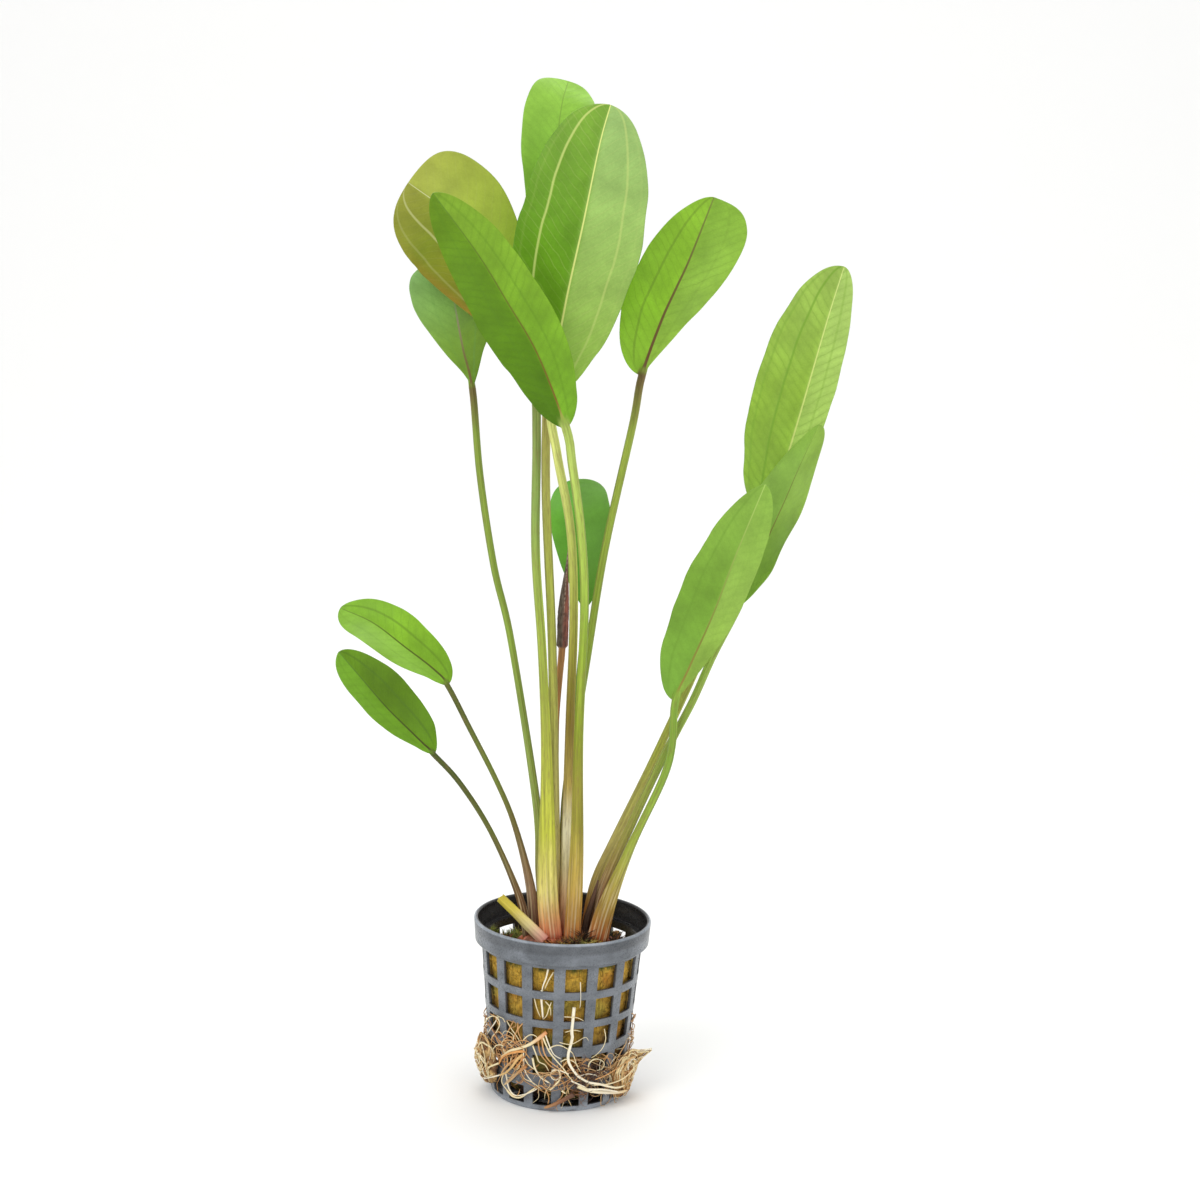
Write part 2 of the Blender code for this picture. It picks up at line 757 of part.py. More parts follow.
def make_lump(name, centre, half_sizes, colour):
    """A small uneven lump."""
    mesh = bmesh.new()
    bmesh.ops.create_icosphere(mesh, subdivisions=2, radius=1.0)
    for vert in mesh.verts:
        uneven = 1 + 0.08 * math.sin(5 * vert.co.x + 3 * vert.co.y) + 0.06 * math.sin(7 * vert.co.z)
        sized = Vector(size * part for size, part in zip(half_sizes, vert.co * uneven))
        vert.co = Vector(centre) + sized
    return new_object(name, mesh, colour, roughness=0.9, crease=60.0)


def make_root(root):
    """One round root on the outside of the pot, thinning to its end."""
    route = Route([on_wall(*point) for point in root.points])
    shares = evenly(2 * len(root.points) - 1)
    mesh = bmesh.new()
    loft(mesh, round_rings(route, lambda share: root.radius * (1 - 0.45 * share), shares, ROOT_SIDES))
    return new_object(root.name, mesh, root.colour, roughness=0.6, crease=80.0)


def make_root_mat(mat):
    """A clump of fine roots: a lens against the wall that is thickest at its centre."""
    mesh = bmesh.new()
    middle_bearing, middle_height = mat.centre
    sides = 2 * len(mat.outline)
    closed = mat.outline + mat.outline[:1]
    edge = []
    for start, stop in zip(closed, closed[1:]):
        edge.append(start)
        edge.append(tuple((a + b) / 2 for a, b in zip(start, stop)))

    def ring(share, thickness, hug):
        points = []
        for side in range(sides):
            bearing, height, out = edge[side]
            bearing = middle_bearing + (bearing - middle_bearing) * share
            height = middle_height + (height - middle_height) * share
            uneven = 1 + 0.12 * math.sin(2.3 * side + 5 * share)
            points.append(on_wall(bearing, height, MAT_GAP + hug * out + thickness * uneven))
        return points

    rings = [ring(0.45, 0.0, 0.0), ring(0.85, 0.0, 0.0), ring(1.0, 0.1, 1.0)]
    for share in (0.82, 0.55, 0.28):
        rings.append(ring(share, mat.thickness * (1 - share**2), share**2))
    inner = on_wall(middle_bearing, middle_height, MAT_GAP)
    outer = on_wall(middle_bearing, middle_height, MAT_GAP + mat.thickness)
    loft(mesh, rings, tip=outer, start=inner)
    return new_object(mat.name, mesh, ROOT_TAN, roughness=0.9, crease=80.0)


def main():
    """Clears the scene and builds the pot, the plug, the plant and its roots."""
    for thing in list(bpy.data.objects):
        bpy.data.objects.remove(thing, do_unlink=True)
    make_net_pot()
    make_plug()
    make_crown()
    for leaf in LEAVES:
        make_leaf(leaf)
    make_dead_leaf()
    make_tapered("cut_stalk", CUT_STALK, CUT_STALK_RADII, STALK_YELLOW)
    make_tapered("dry_sheath", DRY_SHEATH, DRY_SHEATH_RADII, DEAD_BROWN)
    make_lump("moss_tuft", *MOSS_TUFT, MOSS)
    make_lump("gravel_bit", *GRAVEL_BIT, GRAVEL)
    for root in ROOTS:
        make_root(root)
    for mat in ROOT_MATS:
        make_root_mat(mat)


if __name__ == "__main__":
    main()
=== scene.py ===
"""Looks of a potted echinodorus: leaves, stalks, crown and roots on a rockwool plug in a net pot.

Lengths are in millimetres until a mesh is made, and then in metres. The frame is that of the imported
model: the origin is the centre of the pot's underside, +Z is up and the front is -Y. A bearing is an
angle round the pot, counted in degrees from the front towards +X.
"""

import bisect
import logging
import math
import random
from collections import defaultdict
from dataclasses import dataclass, field
from enum import Enum
from functools import cached_property, partial
from itertools import product
from typing import Callable, Sequence

import bmesh
import bpy
from mathutils import Matrix, Vector, noise

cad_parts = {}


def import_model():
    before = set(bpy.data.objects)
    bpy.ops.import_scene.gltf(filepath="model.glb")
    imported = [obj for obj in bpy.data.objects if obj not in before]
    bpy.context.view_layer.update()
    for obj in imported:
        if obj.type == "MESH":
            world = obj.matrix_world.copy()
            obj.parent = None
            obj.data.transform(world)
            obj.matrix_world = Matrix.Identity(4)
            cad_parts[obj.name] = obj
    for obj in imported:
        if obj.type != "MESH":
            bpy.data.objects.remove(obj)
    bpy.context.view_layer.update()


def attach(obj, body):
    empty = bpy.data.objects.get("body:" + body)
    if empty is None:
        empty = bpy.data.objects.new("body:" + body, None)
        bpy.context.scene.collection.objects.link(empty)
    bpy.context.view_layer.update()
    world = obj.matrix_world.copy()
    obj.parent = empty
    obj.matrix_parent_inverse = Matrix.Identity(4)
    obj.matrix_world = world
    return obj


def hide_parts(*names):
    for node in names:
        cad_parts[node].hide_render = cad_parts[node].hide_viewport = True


LOG = logging.getLogger("potted_echinodorus")
MM = 0.001
BODY = "root"
# Edges bent more than this are rounded
SHARP = math.radians(38)

# Settings that many nodes share. A colour mix gives its colour at output 2
MULTIPLY = {"operation": "MULTIPLY"}
MULTIPLY_ADD = {"operation": "MULTIPLY_ADD"}
SCALE = {"operation": "SCALE"}
BLEND = {"data_type": "RGBA", "out": 2}
SMOOTH = {"interpolation_type": "SMOOTHSTEP"}
# Nearly all of a noise lies between these
NOISE = {"from_min": 0.3, "from_max": 0.7}

Stops = tuple[tuple[float, str], ...]
Point = Sequence[float]
Colour = tuple[float, ...]
Piece = bpy.types.Object
Socket = bpy.types.NodeSocket


def linear(colour: str) -> Colour:
    """Turns an sRGB hex value to linear light.

    Args:
        colour: Six hex digits after a hash.

    Returns:
        Red, green, blue and an alpha of 1.
    """
    channels = [int(colour[place : place + 2], 16) / 255 for place in (1, 3, 5)]
    light = [c / 12.92 if c <= 0.04045 else ((c + 0.055) / 1.055) ** 2.4 for c in channels]
    return (*light, 1.0)


def mixed(first: Point, second: Point, share: float) -> Colour:
    """Goes from one colour or point to another by a share.

    Args:
        first: Values at share 0.
        second: Values at share 1.
        share: How far to go.

    Returns:
        The values between.
    """
    return tuple(a + (b - a) * share for a, b in zip(first, second))


def shade_at(stops: Stops, place: float) -> Colour:
    """Reads a run of colours.

    Args:
        stops: Places with their hex colours, in rising order.
        place: Where to read.

    Returns:
        The linear colour there.
    """
    if place <= stops[0][0]:
        return linear(stops[0][1])
    for (low, first), (high, second) in zip(stops, stops[1:]):
        if place <= high:
            return mixed(linear(first), linear(second), (place - low) / (high - low))
    return linear(stops[-1][1])


def eased(value: float) -> float:
    """Eases from 0 to 1 with level ends."""
    value = min(max(value, 0.0), 1.0)
    return value * value * (3 - 2 * value)


def between(values: Sequence, share: float) -> float | Colour:
    """Reads a run of evenly spaced numbers or colours.

    Args:
        values: The run, at least two long.
        share: Where to read, from 0 at its start to 1 at its end.

    Returns:
        The number or colour there.
    """
    place = share * (len(values) - 1)
    low = min(int(place), len(values) - 2)
    first, second, part = values[low], values[low + 1], place - low
    return first + (second - first) * part if isinstance(first, float) else mixed(first, second, part)


class Route:
    """A smooth line through a few points, read by the distance along it."""

    STEPS = 12
    REACH_FOR_HEADING = 0.6

    def __init__(self, knots: Sequence[Point]) -> None:
        """Bends the line through its points.

        Args:
            knots: The points that it passes.
        """
        knots = [Vector(knot) for knot in knots]
        ends = [2 * knots[0] - knots[1], *knots, 2 * knots[-1] - knots[-2]]
        self.points = [knots[0]]
        for before, start, stop, after in zip(ends, ends[1:], ends[2:], ends[3:]):
            for step in range(1, self.STEPS + 1):
                t = step / self.STEPS
                bend = 2 * before - 5 * start + 4 * stop - after
                swing = 3 * start - before - 3 * stop + after
                self.points.append(start + 0.5 * (t * (stop - before) + t * t * bend + t**3 * swing))
        self.reach = [0.0]
        for start, stop in zip(self.points, self.points[1:]):
            self.reach.append(self.reach[-1] + (stop - start).length)
        self.length = self.reach[-1]

    def distance_to(self, knot: int) -> float:
        """Gives the distance from the start to one of the given points."""
        return self.reach[knot * self.STEPS]

    def at(self, distance: float) -> Vector:
        """Gives the point at a distance along the line."""
        step = min(max(bisect.bisect_right(self.reach, distance), 1), len(self.points) - 1)
        before, after = self.reach[step - 1], self.reach[step]
        return self.points[step - 1].lerp(self.points[step], (distance - before) / (after - before))

    def heading(self, distance: float) -> Vector:
        """Gives the direction of the line at a distance along it."""
        ahead = self.at(min(distance + self.REACH_FOR_HEADING, self.length))
        return (ahead - self.at(max(distance - self.REACH_FOR_HEADING, 0.0))).normalized()

    def spoke(self, distance: float, turn: float) -> Vector:
        """Gives the way out at a turn round the line, for a line that doesn't run from front to back."""
        heading = self.heading(distance)
        aside = heading.cross(Vector((0, 1, 0))).normalized()
        return aside * math.cos(turn) + heading.cross(aside) * math.sin(turn)


class Draft:
    """A mesh in the making: points in millimetres, faces, and the values that each point holds."""

    def __init__(self) -> None:
        """Starts empty."""
        self.points: list[Vector] = []
        self.faces: list[tuple[int, ...]] = []
        self.values: dict[str, list] = defaultdict(list)

    def add(self, point: Point, **values: float | Sequence[float]) -> int:
        """Adds a point with its values and gives its number."""
        self.points.append(Vector(point))
        for name, value in values.items():
            self.values[name].append(value)
        return len(self.points) - 1

    def skin(self, rings: Sequence[Sequence[int]]) -> None:
        """Joins rings of equal count with quads and shuts the ends.

        Args:
            rings: Point numbers, each ring turning the same way.
        """
        for low, high in zip(rings, rings[1:]):
            for a, b, c, d in zip(low, [*low[1:], low[0]], [*high[1:], high[0]], high):
                self.faces.append((a, b, c, d))
        self.faces += [tuple(reversed(rings[0])), tuple(rings[-1])]

    def loft(self, stations: Sequence, sides: int, corner: Callable[..., tuple[Vector, dict]]) -> None:
        """Adds a closed form whose rings come from a function.

        Args:
            stations: What tells the rings apart, from the first to the last.
            sides: How many points each ring has.
            corner: Gives a point and what it holds, from a station and a turn in radians.
        """
        turns = [2 * math.pi * side / sides for side in range(sides)]
        rings = []
        for station in stations:
            corners_here = [corner(station, turn) for turn in turns]
            rings.append([self.add(point, **values) for point, values in corners_here])
        self.skin(rings)

    def tube(
        self,
        route: Route,
        radius: Callable[[float], float],
        count: int,
        sides: int,
        values: Callable[[float], dict],
    ) -> None:
        """Adds a closed round tube along a route.

        Args:
            route: The line that it follows.
            radius: Its radius at a share of the length.
            count: How many rings it has.
            sides: How many sides each ring has.
            values: What a point holds at a share of the length.
        """
        rings = []
        aside = route.heading(0.0).orthogonal().normalized()
        for step in range(count):
            share = step / (count - 1)
            along = route.length * share
            heading = route.heading(along)
            aside = (aside - aside.dot(heading) * heading).normalized()
            up = heading.cross(aside)
            size = radius(share)
            ring = []
            for side in range(sides):
                turn = 2 * math.pi * side / sides
                spoke = aside * math.cos(turn) + up * math.sin(turn)
                grain = (size * math.cos(turn), size * math.sin(turn), along)
                ring.append(self.add(route.at(along) + spoke * size, grain=grain, **values(share)))
            rings.append(ring)
        self.skin(rings)

    def to_object(self, name: str, finish: "Finish", slot: str, nodes: Sequence[str]) -> Piece:
        """Makes the object, dresses it and says what it stands for.

        Args:
            name: The piece's name.
            finish: What it is dressed with.
            slot: The record's material slot. Not used.
            nodes: The solids that it stands for.

        Returns:
            The new object, riding on the part's only body.
        """
        mesh = bpy.data.meshes.new(name)
        mesh.from_pydata([point * MM for point in self.points], [], self.faces)
        for key, values in self.values.items():
            kind, reads = {int: ("FLOAT", "value"), 3: ("FLOAT_VECTOR", "vector"), 4: ("FLOAT_COLOR", "color")}[
                len(values[0]) if isinstance(values[0], (tuple, list, Vector)) else int
            ]
            attribute = mesh.attributes.new(key, kind, "POINT")
            flat = values if kind == "FLOAT" else [part for value in values for part in value]
            attribute.data.foreach_set(reads, flat)
        mesh.shade_smooth()
        mesh.validate()
        mesh.materials.append(finish.material())
        piece = bpy.data.objects.new(name, mesh)
        bpy.context.scene.collection.objects.link(piece)
        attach(piece, BODY)
        if nodes:
            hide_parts(*nodes)
        LOG.info("%s: %d faces, stands for %s", name, len(mesh.polygons), ", ".join(nodes) or "nothing")
        return piece


class Finish:
    """A material made of nodes, made once and then shared."""

    name: str
    roughness: float
    shine: float = 0.5
    made: dict[str, bpy.types.Material] = {}

    def material(self) -> bpy.types.Material:
        """Gives the material, and makes it the first time.

        Returns:
            The material.
        """
        if self.name not in self.made:
            material = bpy.data.materials.new(self.name)
            material.use_nodes = True
            shader = material.node_tree.nodes["Principled BSDF"]
            shader.inputs["Roughness"].default_value = self.roughness
            for name, source in self.dress(partial(add_node, material.node_tree)).items():
                material.node_tree.links.new(source, shader.inputs[name])
            shader.inputs["Specular IOR Level"].default_value = self.shine
            self.made[self.name] = material
        return self.made[self.name]

    def dress(self, node: Callable[..., Socket]) -> dict[str, Socket]:
        """Builds the nodes. Each finish has its own."""
        raise NotImplementedError


def add_node(tree: bpy.types.NodeTree, kind: str, settings: dict, **inputs: object) -> Socket:
    """Adds a node with its settings and links.

    Args:
        tree: The material's nodes.
        kind: The node's type, without its ShaderNode prefix.
        settings: Values of the node itself. "out" names the output to give, and the first is the default.
        inputs: A value or an output for each socket, named as in_0, in_1 by place, or by its name in
            lower case with _ for a space.

    Returns:
        The node's output.
    """
    node = tree.nodes.new("ShaderNode" + kind)
    out = settings.get("out", 0)
    for name, value in settings.items():
        if name == "stops":
            for place, (where, colour) in enumerate(value):
                element = node.color_ramp.elements[place] if place < 2 else node.color_ramp.elements.new(where)
                element.position = where
                element.color = linear(colour) if isinstance(colour, str) else (colour, colour, colour, 1)
        elif name != "out":
            setattr(node, name, value)
    named = {socket.name.lower().replace(" ", "_"): socket for socket in reversed(node.inputs) if socket.enabled}
    for name, value in inputs.items():
        socket = node.inputs[int(name[3:])] if name.startswith("in_") else named[name]
        if isinstance(value, Socket):
            tree.links.new(value, socket)
        else:
            socket.default_value = value
    return node.outputs[out]


@dataclass(frozen=True)
class PotPlastic(Finish):
    """Polypropylene, injection moulded: satin grey, paler where it is scuffed, with dirt low down."""

    name: str = "moulded_polypropylene"
    roughness: float = 0.42
    body: str = "#565b61"
    flow_mark: str = "#747980"
    scuffed: str = "#9aa0a6"
    # Painted shade: the inside is the same plastic, painted near black as the shade within the pot
    inside: str = "#1d1b1c"
    dirt: str = "#55483a"
    dirt_strength: float = 0.4
    # In metres
    pot_height: float = 0.056
    dirt_top: float = 0.012
    # Shares of the pot's height with the gain there: painted light on the foot, the wall, painted shade on the collar
    # under the lip, a painted highlight on the lip
    gains: tuple = ((0.0, 2.1), (0.06, 1.1), (0.3, 1.0), (0.925, 1.0), (0.945, 0.6), (0.986, 0.66), (0.992, 2.0))

    def dress(self, node: Callable[..., Socket]) -> dict[str, Socket]:
        """Builds the nodes: flow marks, scuffs, dirt, painted light and shade by height, and painted shade on the
        inside.

        Args:
            node: Adds a node to the material, as add_node does.

        Returns:
            What feeds each input of the shader.
        """
        place = node("TexCoord", {"out": "Object"})
        # Flow marks of the moulding are about 12 mm long and run round the pot
        flow = node("Mapping", {}, vector=place, scale=(90, 90, 130))
        cloud = node("TexNoise", {}, vector=flow, scale=1.6, detail=5.0, roughness=0.6)
        marks = node("ValToRGB", {"stops": ((0.36, self.body), (0.66, self.flow_mark))}, fac=cloud)
        # Scuffs are 0.3 mm scratches in patches of about 10 mm
        patch = node("TexNoise", {}, vector=place, scale=95.0, detail=2.0)
        fine = node("TexNoise", {}, vector=place, scale=900.0, detail=6.0, distortion=2.5)
        both = node("Math", MULTIPLY, in_0=patch, in_1=fine)
        scuff = node("ValToRGB", {"stops": ((0.31, 0.0), (0.42, 1.0))}, fac=both)
        faint = node("Math", MULTIPLY, in_0=scuff, in_1=0.35)
        paler = node("Mix", BLEND, in_0=faint, in_6=marks, in_7=linear(self.scuffed))
        height = node("SeparateXYZ", {"out": "Z"}, vector=place)
        share = node("MapRange", {}, value=height, from_min=0.0, from_max=self.pot_height)
        # The gain by height is painted light and shade: a lighter foot and lip, a darker collar under the lip
        gain = node("ValToRGB", {"stops": self.gains}, fac=share)
        lit_and_shaded = node("VectorMath", MULTIPLY, in_0=paler, in_1=gain)
        low = node("MapRange", {}, value=height, from_min=self.dirt_top, from_max=0.0, to_max=self.dirt_strength)
        spots = node("TexNoise", {}, vector=place, scale=260.0, detail=4.0)
        spotted = node("ValToRGB", {"stops": ((0.48, 0.0), (0.66, 1.0))}, fac=spots)
        dirty = node("Math", MULTIPLY, in_0=spotted, in_1=low)
        outer = node("Mix", BLEND, in_0=dirty, in_6=lit_and_shaded, in_7=linear(self.dirt))
        # The inner skin takes the painted shade colour
        inner = node("Attribute", {"attribute_name": "inner", "out": "Fac"})
        colour = node("Mix", BLEND, in_0=inner, in_6=outer, in_7=linear(self.inside))
        worn = node("MapRange", {}, value=fine, to_min=0.22, to_max=0.38, **NOISE)
        bump = node("Bump", {}, height=fine, strength=0.12, distance=0.0002)
        return {"Base Color": colour, "Roughness": worn, "Normal": bump}


@dataclass(frozen=True)
class LeafTissue(Finish):
    """Living leaf with a waxy skin: the colours come with the points, the veins and cells from the nodes."""

    name: str = "living_leaf"
    roughness: float = 0.4
    shine: float = 0.16
    # Real cross veins stand about 3 mm apart, and the cells show as grain of about 0.4 mm
    cross_vein_spacing: float = 3.1
    cell: float = 0.4
    fleck: str = "#86684a"
    fibre: str = "#ecdcb0"
    # Along the stalk, in millimetres: all the pale fibres show up to the first, and none past the second
    fibre_reach: tuple[float, float] = (6.0, 35.0)

    def dress(self, node: Callable[..., Socket]) -> dict[str, Socket]:
        """Builds the nodes: blotches, cells, cross veins with painted light and shade on the quilts between them, side
        veins, midrib, and streaks on the stalk.

        Args:
            node: Adds a node to the material, as add_node does.

        Returns:
            What feeds each input of the shader.
        """
        held = {
            name: node("Attribute", {"attribute_name": name, "out": out})
            for names, out in ((("tint", "rib", "vein"), "Color"), (("grain", "veins", "marks"), "Vector"))
            for name in names
        }
        tint, vein, grain = held["tint"], held["vein"], held["grain"]
        to_rib, to_side, slant, side_strength, cross_strength, blade = (
            node("SeparateXYZ", {"out": axis}, vector=held[name]) for name in ("veins", "marks") for axis in "XYZ"
        )
        under = node("Attribute", {"attribute_name": "under", "out": "Fac"})

        # Soft blotches of about 14 mm and the grain of the cells
        blotch = node("TexNoise", {}, vector=grain, scale=0.08, detail=5.0, roughness=0.58)
        cells = node("TexNoise", {}, vector=grain, scale=0.9 / self.cell, detail=3.0)
        soft = node("MapRange", {}, value=blotch, to_min=0.72, to_max=1.07, **NOISE)
        crisp = node("MapRange", {}, value=cells, to_min=0.95, to_max=1.05, **NOISE)
        gain = node("Math", MULTIPLY, in_0=soft, in_1=crisp)
        ground = node("VectorMath", SCALE, vector=tint, scale=gain)

        # Cross veins are bent a little, and broken up so that they fade in and out
        bend = node("TexNoise", {}, vector=grain, scale=0.13, detail=2.0)
        bent = node("MapRange", {}, value=bend, to_min=-1.5, to_max=1.5)
        shifted = node("Math", {"operation": "ADD"}, in_0=slant, in_1=bent)
        spaced = node("Math", {"operation": "DIVIDE"}, in_0=shifted, in_1=self.cross_vein_spacing)
        wave = node("Math", {"operation": "PINGPONG"}, in_0=spaced, in_1=0.5)
        line = node("MapRange", {}, value=wave, from_min=0.1, from_max=0.0)
        fade = node("MapRange", {}, value=blotch, from_min=0.4, from_max=0.6, to_min=0.35, to_max=1.0)
        drawn = node("Math", MULTIPLY, in_0=line, in_1=fade)
        crossing = node("Math", MULTIPLY, in_0=drawn, in_1=cross_strength)
        # Between them the tissue bulges into quilts; painted light and shade make each quilt paler towards its middle
        middle = node("Math", MULTIPLY_ADD, in_0=wave, in_1=0.8, in_2=-0.2)
        broken = node("Math", MULTIPLY, in_0=middle, in_1=fade)
        quilt_light_and_shade = node("Math", MULTIPLY_ADD, in_0=broken, in_1=cross_strength, in_2=1.0)
        quilt_shaded = node("VectorMath", SCALE, vector=ground, scale=quilt_light_and_shade)
        ribbed = node("Mix", BLEND, in_0=crossing, in_6=quilt_shaded, in_7=vein)

        # Side veins are about 0.5 mm wide
        near = node("MapRange", SMOOTH, value=to_side, from_min=0.55, from_max=0.12)
        shown = node("Math", MULTIPLY, in_0=near, in_1=side_strength)
        veined = node("Mix", BLEND, in_0=shown, in_6=ribbed, in_7=vein)
        on_rib = node("MapRange", SMOOTH, value=to_rib, from_min=1.25, from_max=0.7)
        midrib = node("Math", MULTIPLY, in_0=on_rib, in_1=blade)
        leaf = node("Mix", BLEND, in_0=midrib, in_6=veined, in_7=held["rib"])

        # Streaks along the stalk are a millimetre wide and some 30 mm long
        drawn_out = node("Mapping", {}, vector=grain, scale=(1.3, 1.3, 0.035))
        streaks = node("TexNoise", {}, vector=drawn_out, scale=1.0, detail=3.0)
        streak = node("MapRange", {}, value=streaks, from_min=0.32, from_max=0.68, to_min=0.74, to_max=1.34)
        streaked = node("VectorMath", SCALE, vector=tint, scale=streak)
        # Purple-brown flecks some 0.5 mm wide and 3 mm long lie in the skin of the stalks
        stretched = node("Mapping", {}, vector=grain, scale=(2.2, 2.2, 0.3))
        flecks = node("TexNoise", {}, vector=stretched, scale=1.0, detail=2.0)
        fleck = node("MapRange", {}, value=flecks, from_min=0.5, from_max=0.74, to_max=0.42)
        flecked = node("Mix", BLEND, in_0=fleck, in_6=streaked, in_7=linear(self.fleck))
        # Pale fibres some 0.4 mm wide show through near the foot
        finely = node("Mapping", {}, vector=grain, scale=(2.4, 2.4, 0.05))
        fibres = node("TexNoise", {}, vector=finely, scale=1.0, detail=2.0)
        fibre = node("MapRange", {}, value=fibres, from_min=0.5, from_max=0.66, to_max=0.6)
        along = node("SeparateXYZ", {"out": "Z"}, vector=grain)
        all_shown, none_shown = self.fibre_reach
        low = node("MapRange", {}, value=along, from_min=none_shown, from_max=all_shown)
        pale = node("Math", MULTIPLY, in_0=fibre, in_1=low)
        stalk = node("Mix", BLEND, in_0=pale, in_6=flecked, in_7=linear(self.fibre))
        colour = node("Mix", BLEND, in_0=blade, in_6=stalk, in_7=leaf)

        rough = node("MapRange", {}, value=cells, to_min=0.36, to_max=0.48, **NOISE)
        # Veins are sunk on the upper side and stand out below
        sense = node("MapRange", {}, value=under, to_min=-1.0, to_max=1.0)
        relief = node("Math", MULTIPLY, in_0=crossing, in_1=sense)
        height = node("Math", MULTIPLY_ADD, in_0=blotch, in_1=1.6, in_2=relief)
        bump = node("Bump", {}, height=height, strength=0.7, distance=0.0003)
        return {"Base Color": colour, "Roughness": rough, "Normal": bump}


@dataclass(frozen=True)
class TintedTissue(Finish):
    """Plant or mineral matter whose colours come with its points, with grain drawn out along it."""

    name: str
    roughness: float
    # How wide and how long one streak of the grain is, in millimetres
    streak: tuple[float, float]
    contrast: float
    relief: float

    def dress(self, node: Callable[..., Socket]) -> dict[str, Socket]:
        """Builds the nodes: lengthwise streaks in the colour and in the relief.

        Args:
            node: Adds a node to the material, as add_node does.

        Returns:
            What feeds each input of the shader.
        """
        tint = node("Attribute", {"attribute_name": "tint", "out": "Color"})
        grain = node("Attribute", {"attribute_name": "grain", "out": "Vector"})
        wide, long = self.streak
        drawn_out = node("Mapping", {}, vector=grain, scale=(1 / wide, 1 / wide, 1 / long))
        fibres = node("TexNoise", {}, vector=drawn_out, scale=1.0, detail=4.0, roughness=0.6)
        low, high = 1 - self.contrast, 1 + self.contrast
        gain = node("MapRange", {}, value=fibres, to_min=low, to_max=high, **NOISE)
        colour = node("VectorMath", SCALE, vector=tint, scale=gain)
        bump = node("Bump", {}, height=fibres, strength=0.8, distance=self.relief * MM)
        return {"Base Color": colour, "Normal": bump}


# Root skin is smooth and a little glossy when damp. Felt is many root hairs, too fine to draw singly
ROOT_SKIN = TintedTissue("damp_root_skin", 0.5, (0.35, 6.0), 0.14, 0.08)
ROOT_FELT = TintedTissue("root_hair_felt", 0.85, (0.5, 0.7), 0.4, 0.5)
# Rockwool is spun mineral fibre of a few microns. It is drawn here as strands of a quarter millimetre
MINERAL_WOOL = TintedTissue("spun_mineral_wool", 0.95, (0.5, 2.5), 0.5, 0.5)
MOSS_SHOOT = TintedTissue("moss_shoot", 0.8, (0.3, 1.0), 0.2, 0.1)
DRY_TISSUE = TintedTissue("shrivelled_leaf", 0.55, (0.45, 14.0), 0.45, 0.4)
CUT_FLESH = TintedTissue("cut_petiole", 0.6, (0.4, 16.0), 0.2, 0.2)
CROWN_FLESH = TintedTissue("crown_flesh", 0.6, (0.9, 1.4), 0.3, 0.4)
QUARTZ = TintedTissue("quartz_gravel", 0.45, (0.5, 0.5), 0.2, 0.15)


@dataclass(frozen=True)
class NetPotForm:
    """Sizes of the net pot: a tapered wall with a stepped collar round its mouth."""

    height: float = 56.0
    rim_radius: float = 27.5
    collar_foot: float = 48.7
    collar_step: float = 1.9
    collar_round: float = 0.3
    wall_top_radius: float = 25.1
    wall_foot_radius: float = 20.7
    wall: float = 1.0
    floor: float = 1.2
    floor_slots: tuple[float, float] = (9.0, 16.5)
    columns: int = 15
    rows: tuple = ((1.8, 7.5), (11.8, 18.4), (21.4, 27.7), (30.0, 37.1), (39.6, 47.3))
    first_bearing: float = 4.0

    def radius(self, height: float) -> float:
        """Gives the outer radius of the tapered wall."""
        return self.wall_foot_radius + (self.wall_top_radius - self.wall_foot_radius) * height / self.collar_foot

    def around(self, radius: float, bearing: float, height: float) -> Vector:
        """Gives the point at a radius, a bearing and a height."""
        turn = math.radians(bearing)
        return Vector((radius * math.sin(turn), -radius * math.cos(turn), height))

    def on_wall(self, bearing: float, height: float, out: float) -> Vector:
        """Gives the point that stands a distance out from the wall."""
        return self.around(self.radius(height) + out, bearing, height)


POT = NetPotForm()


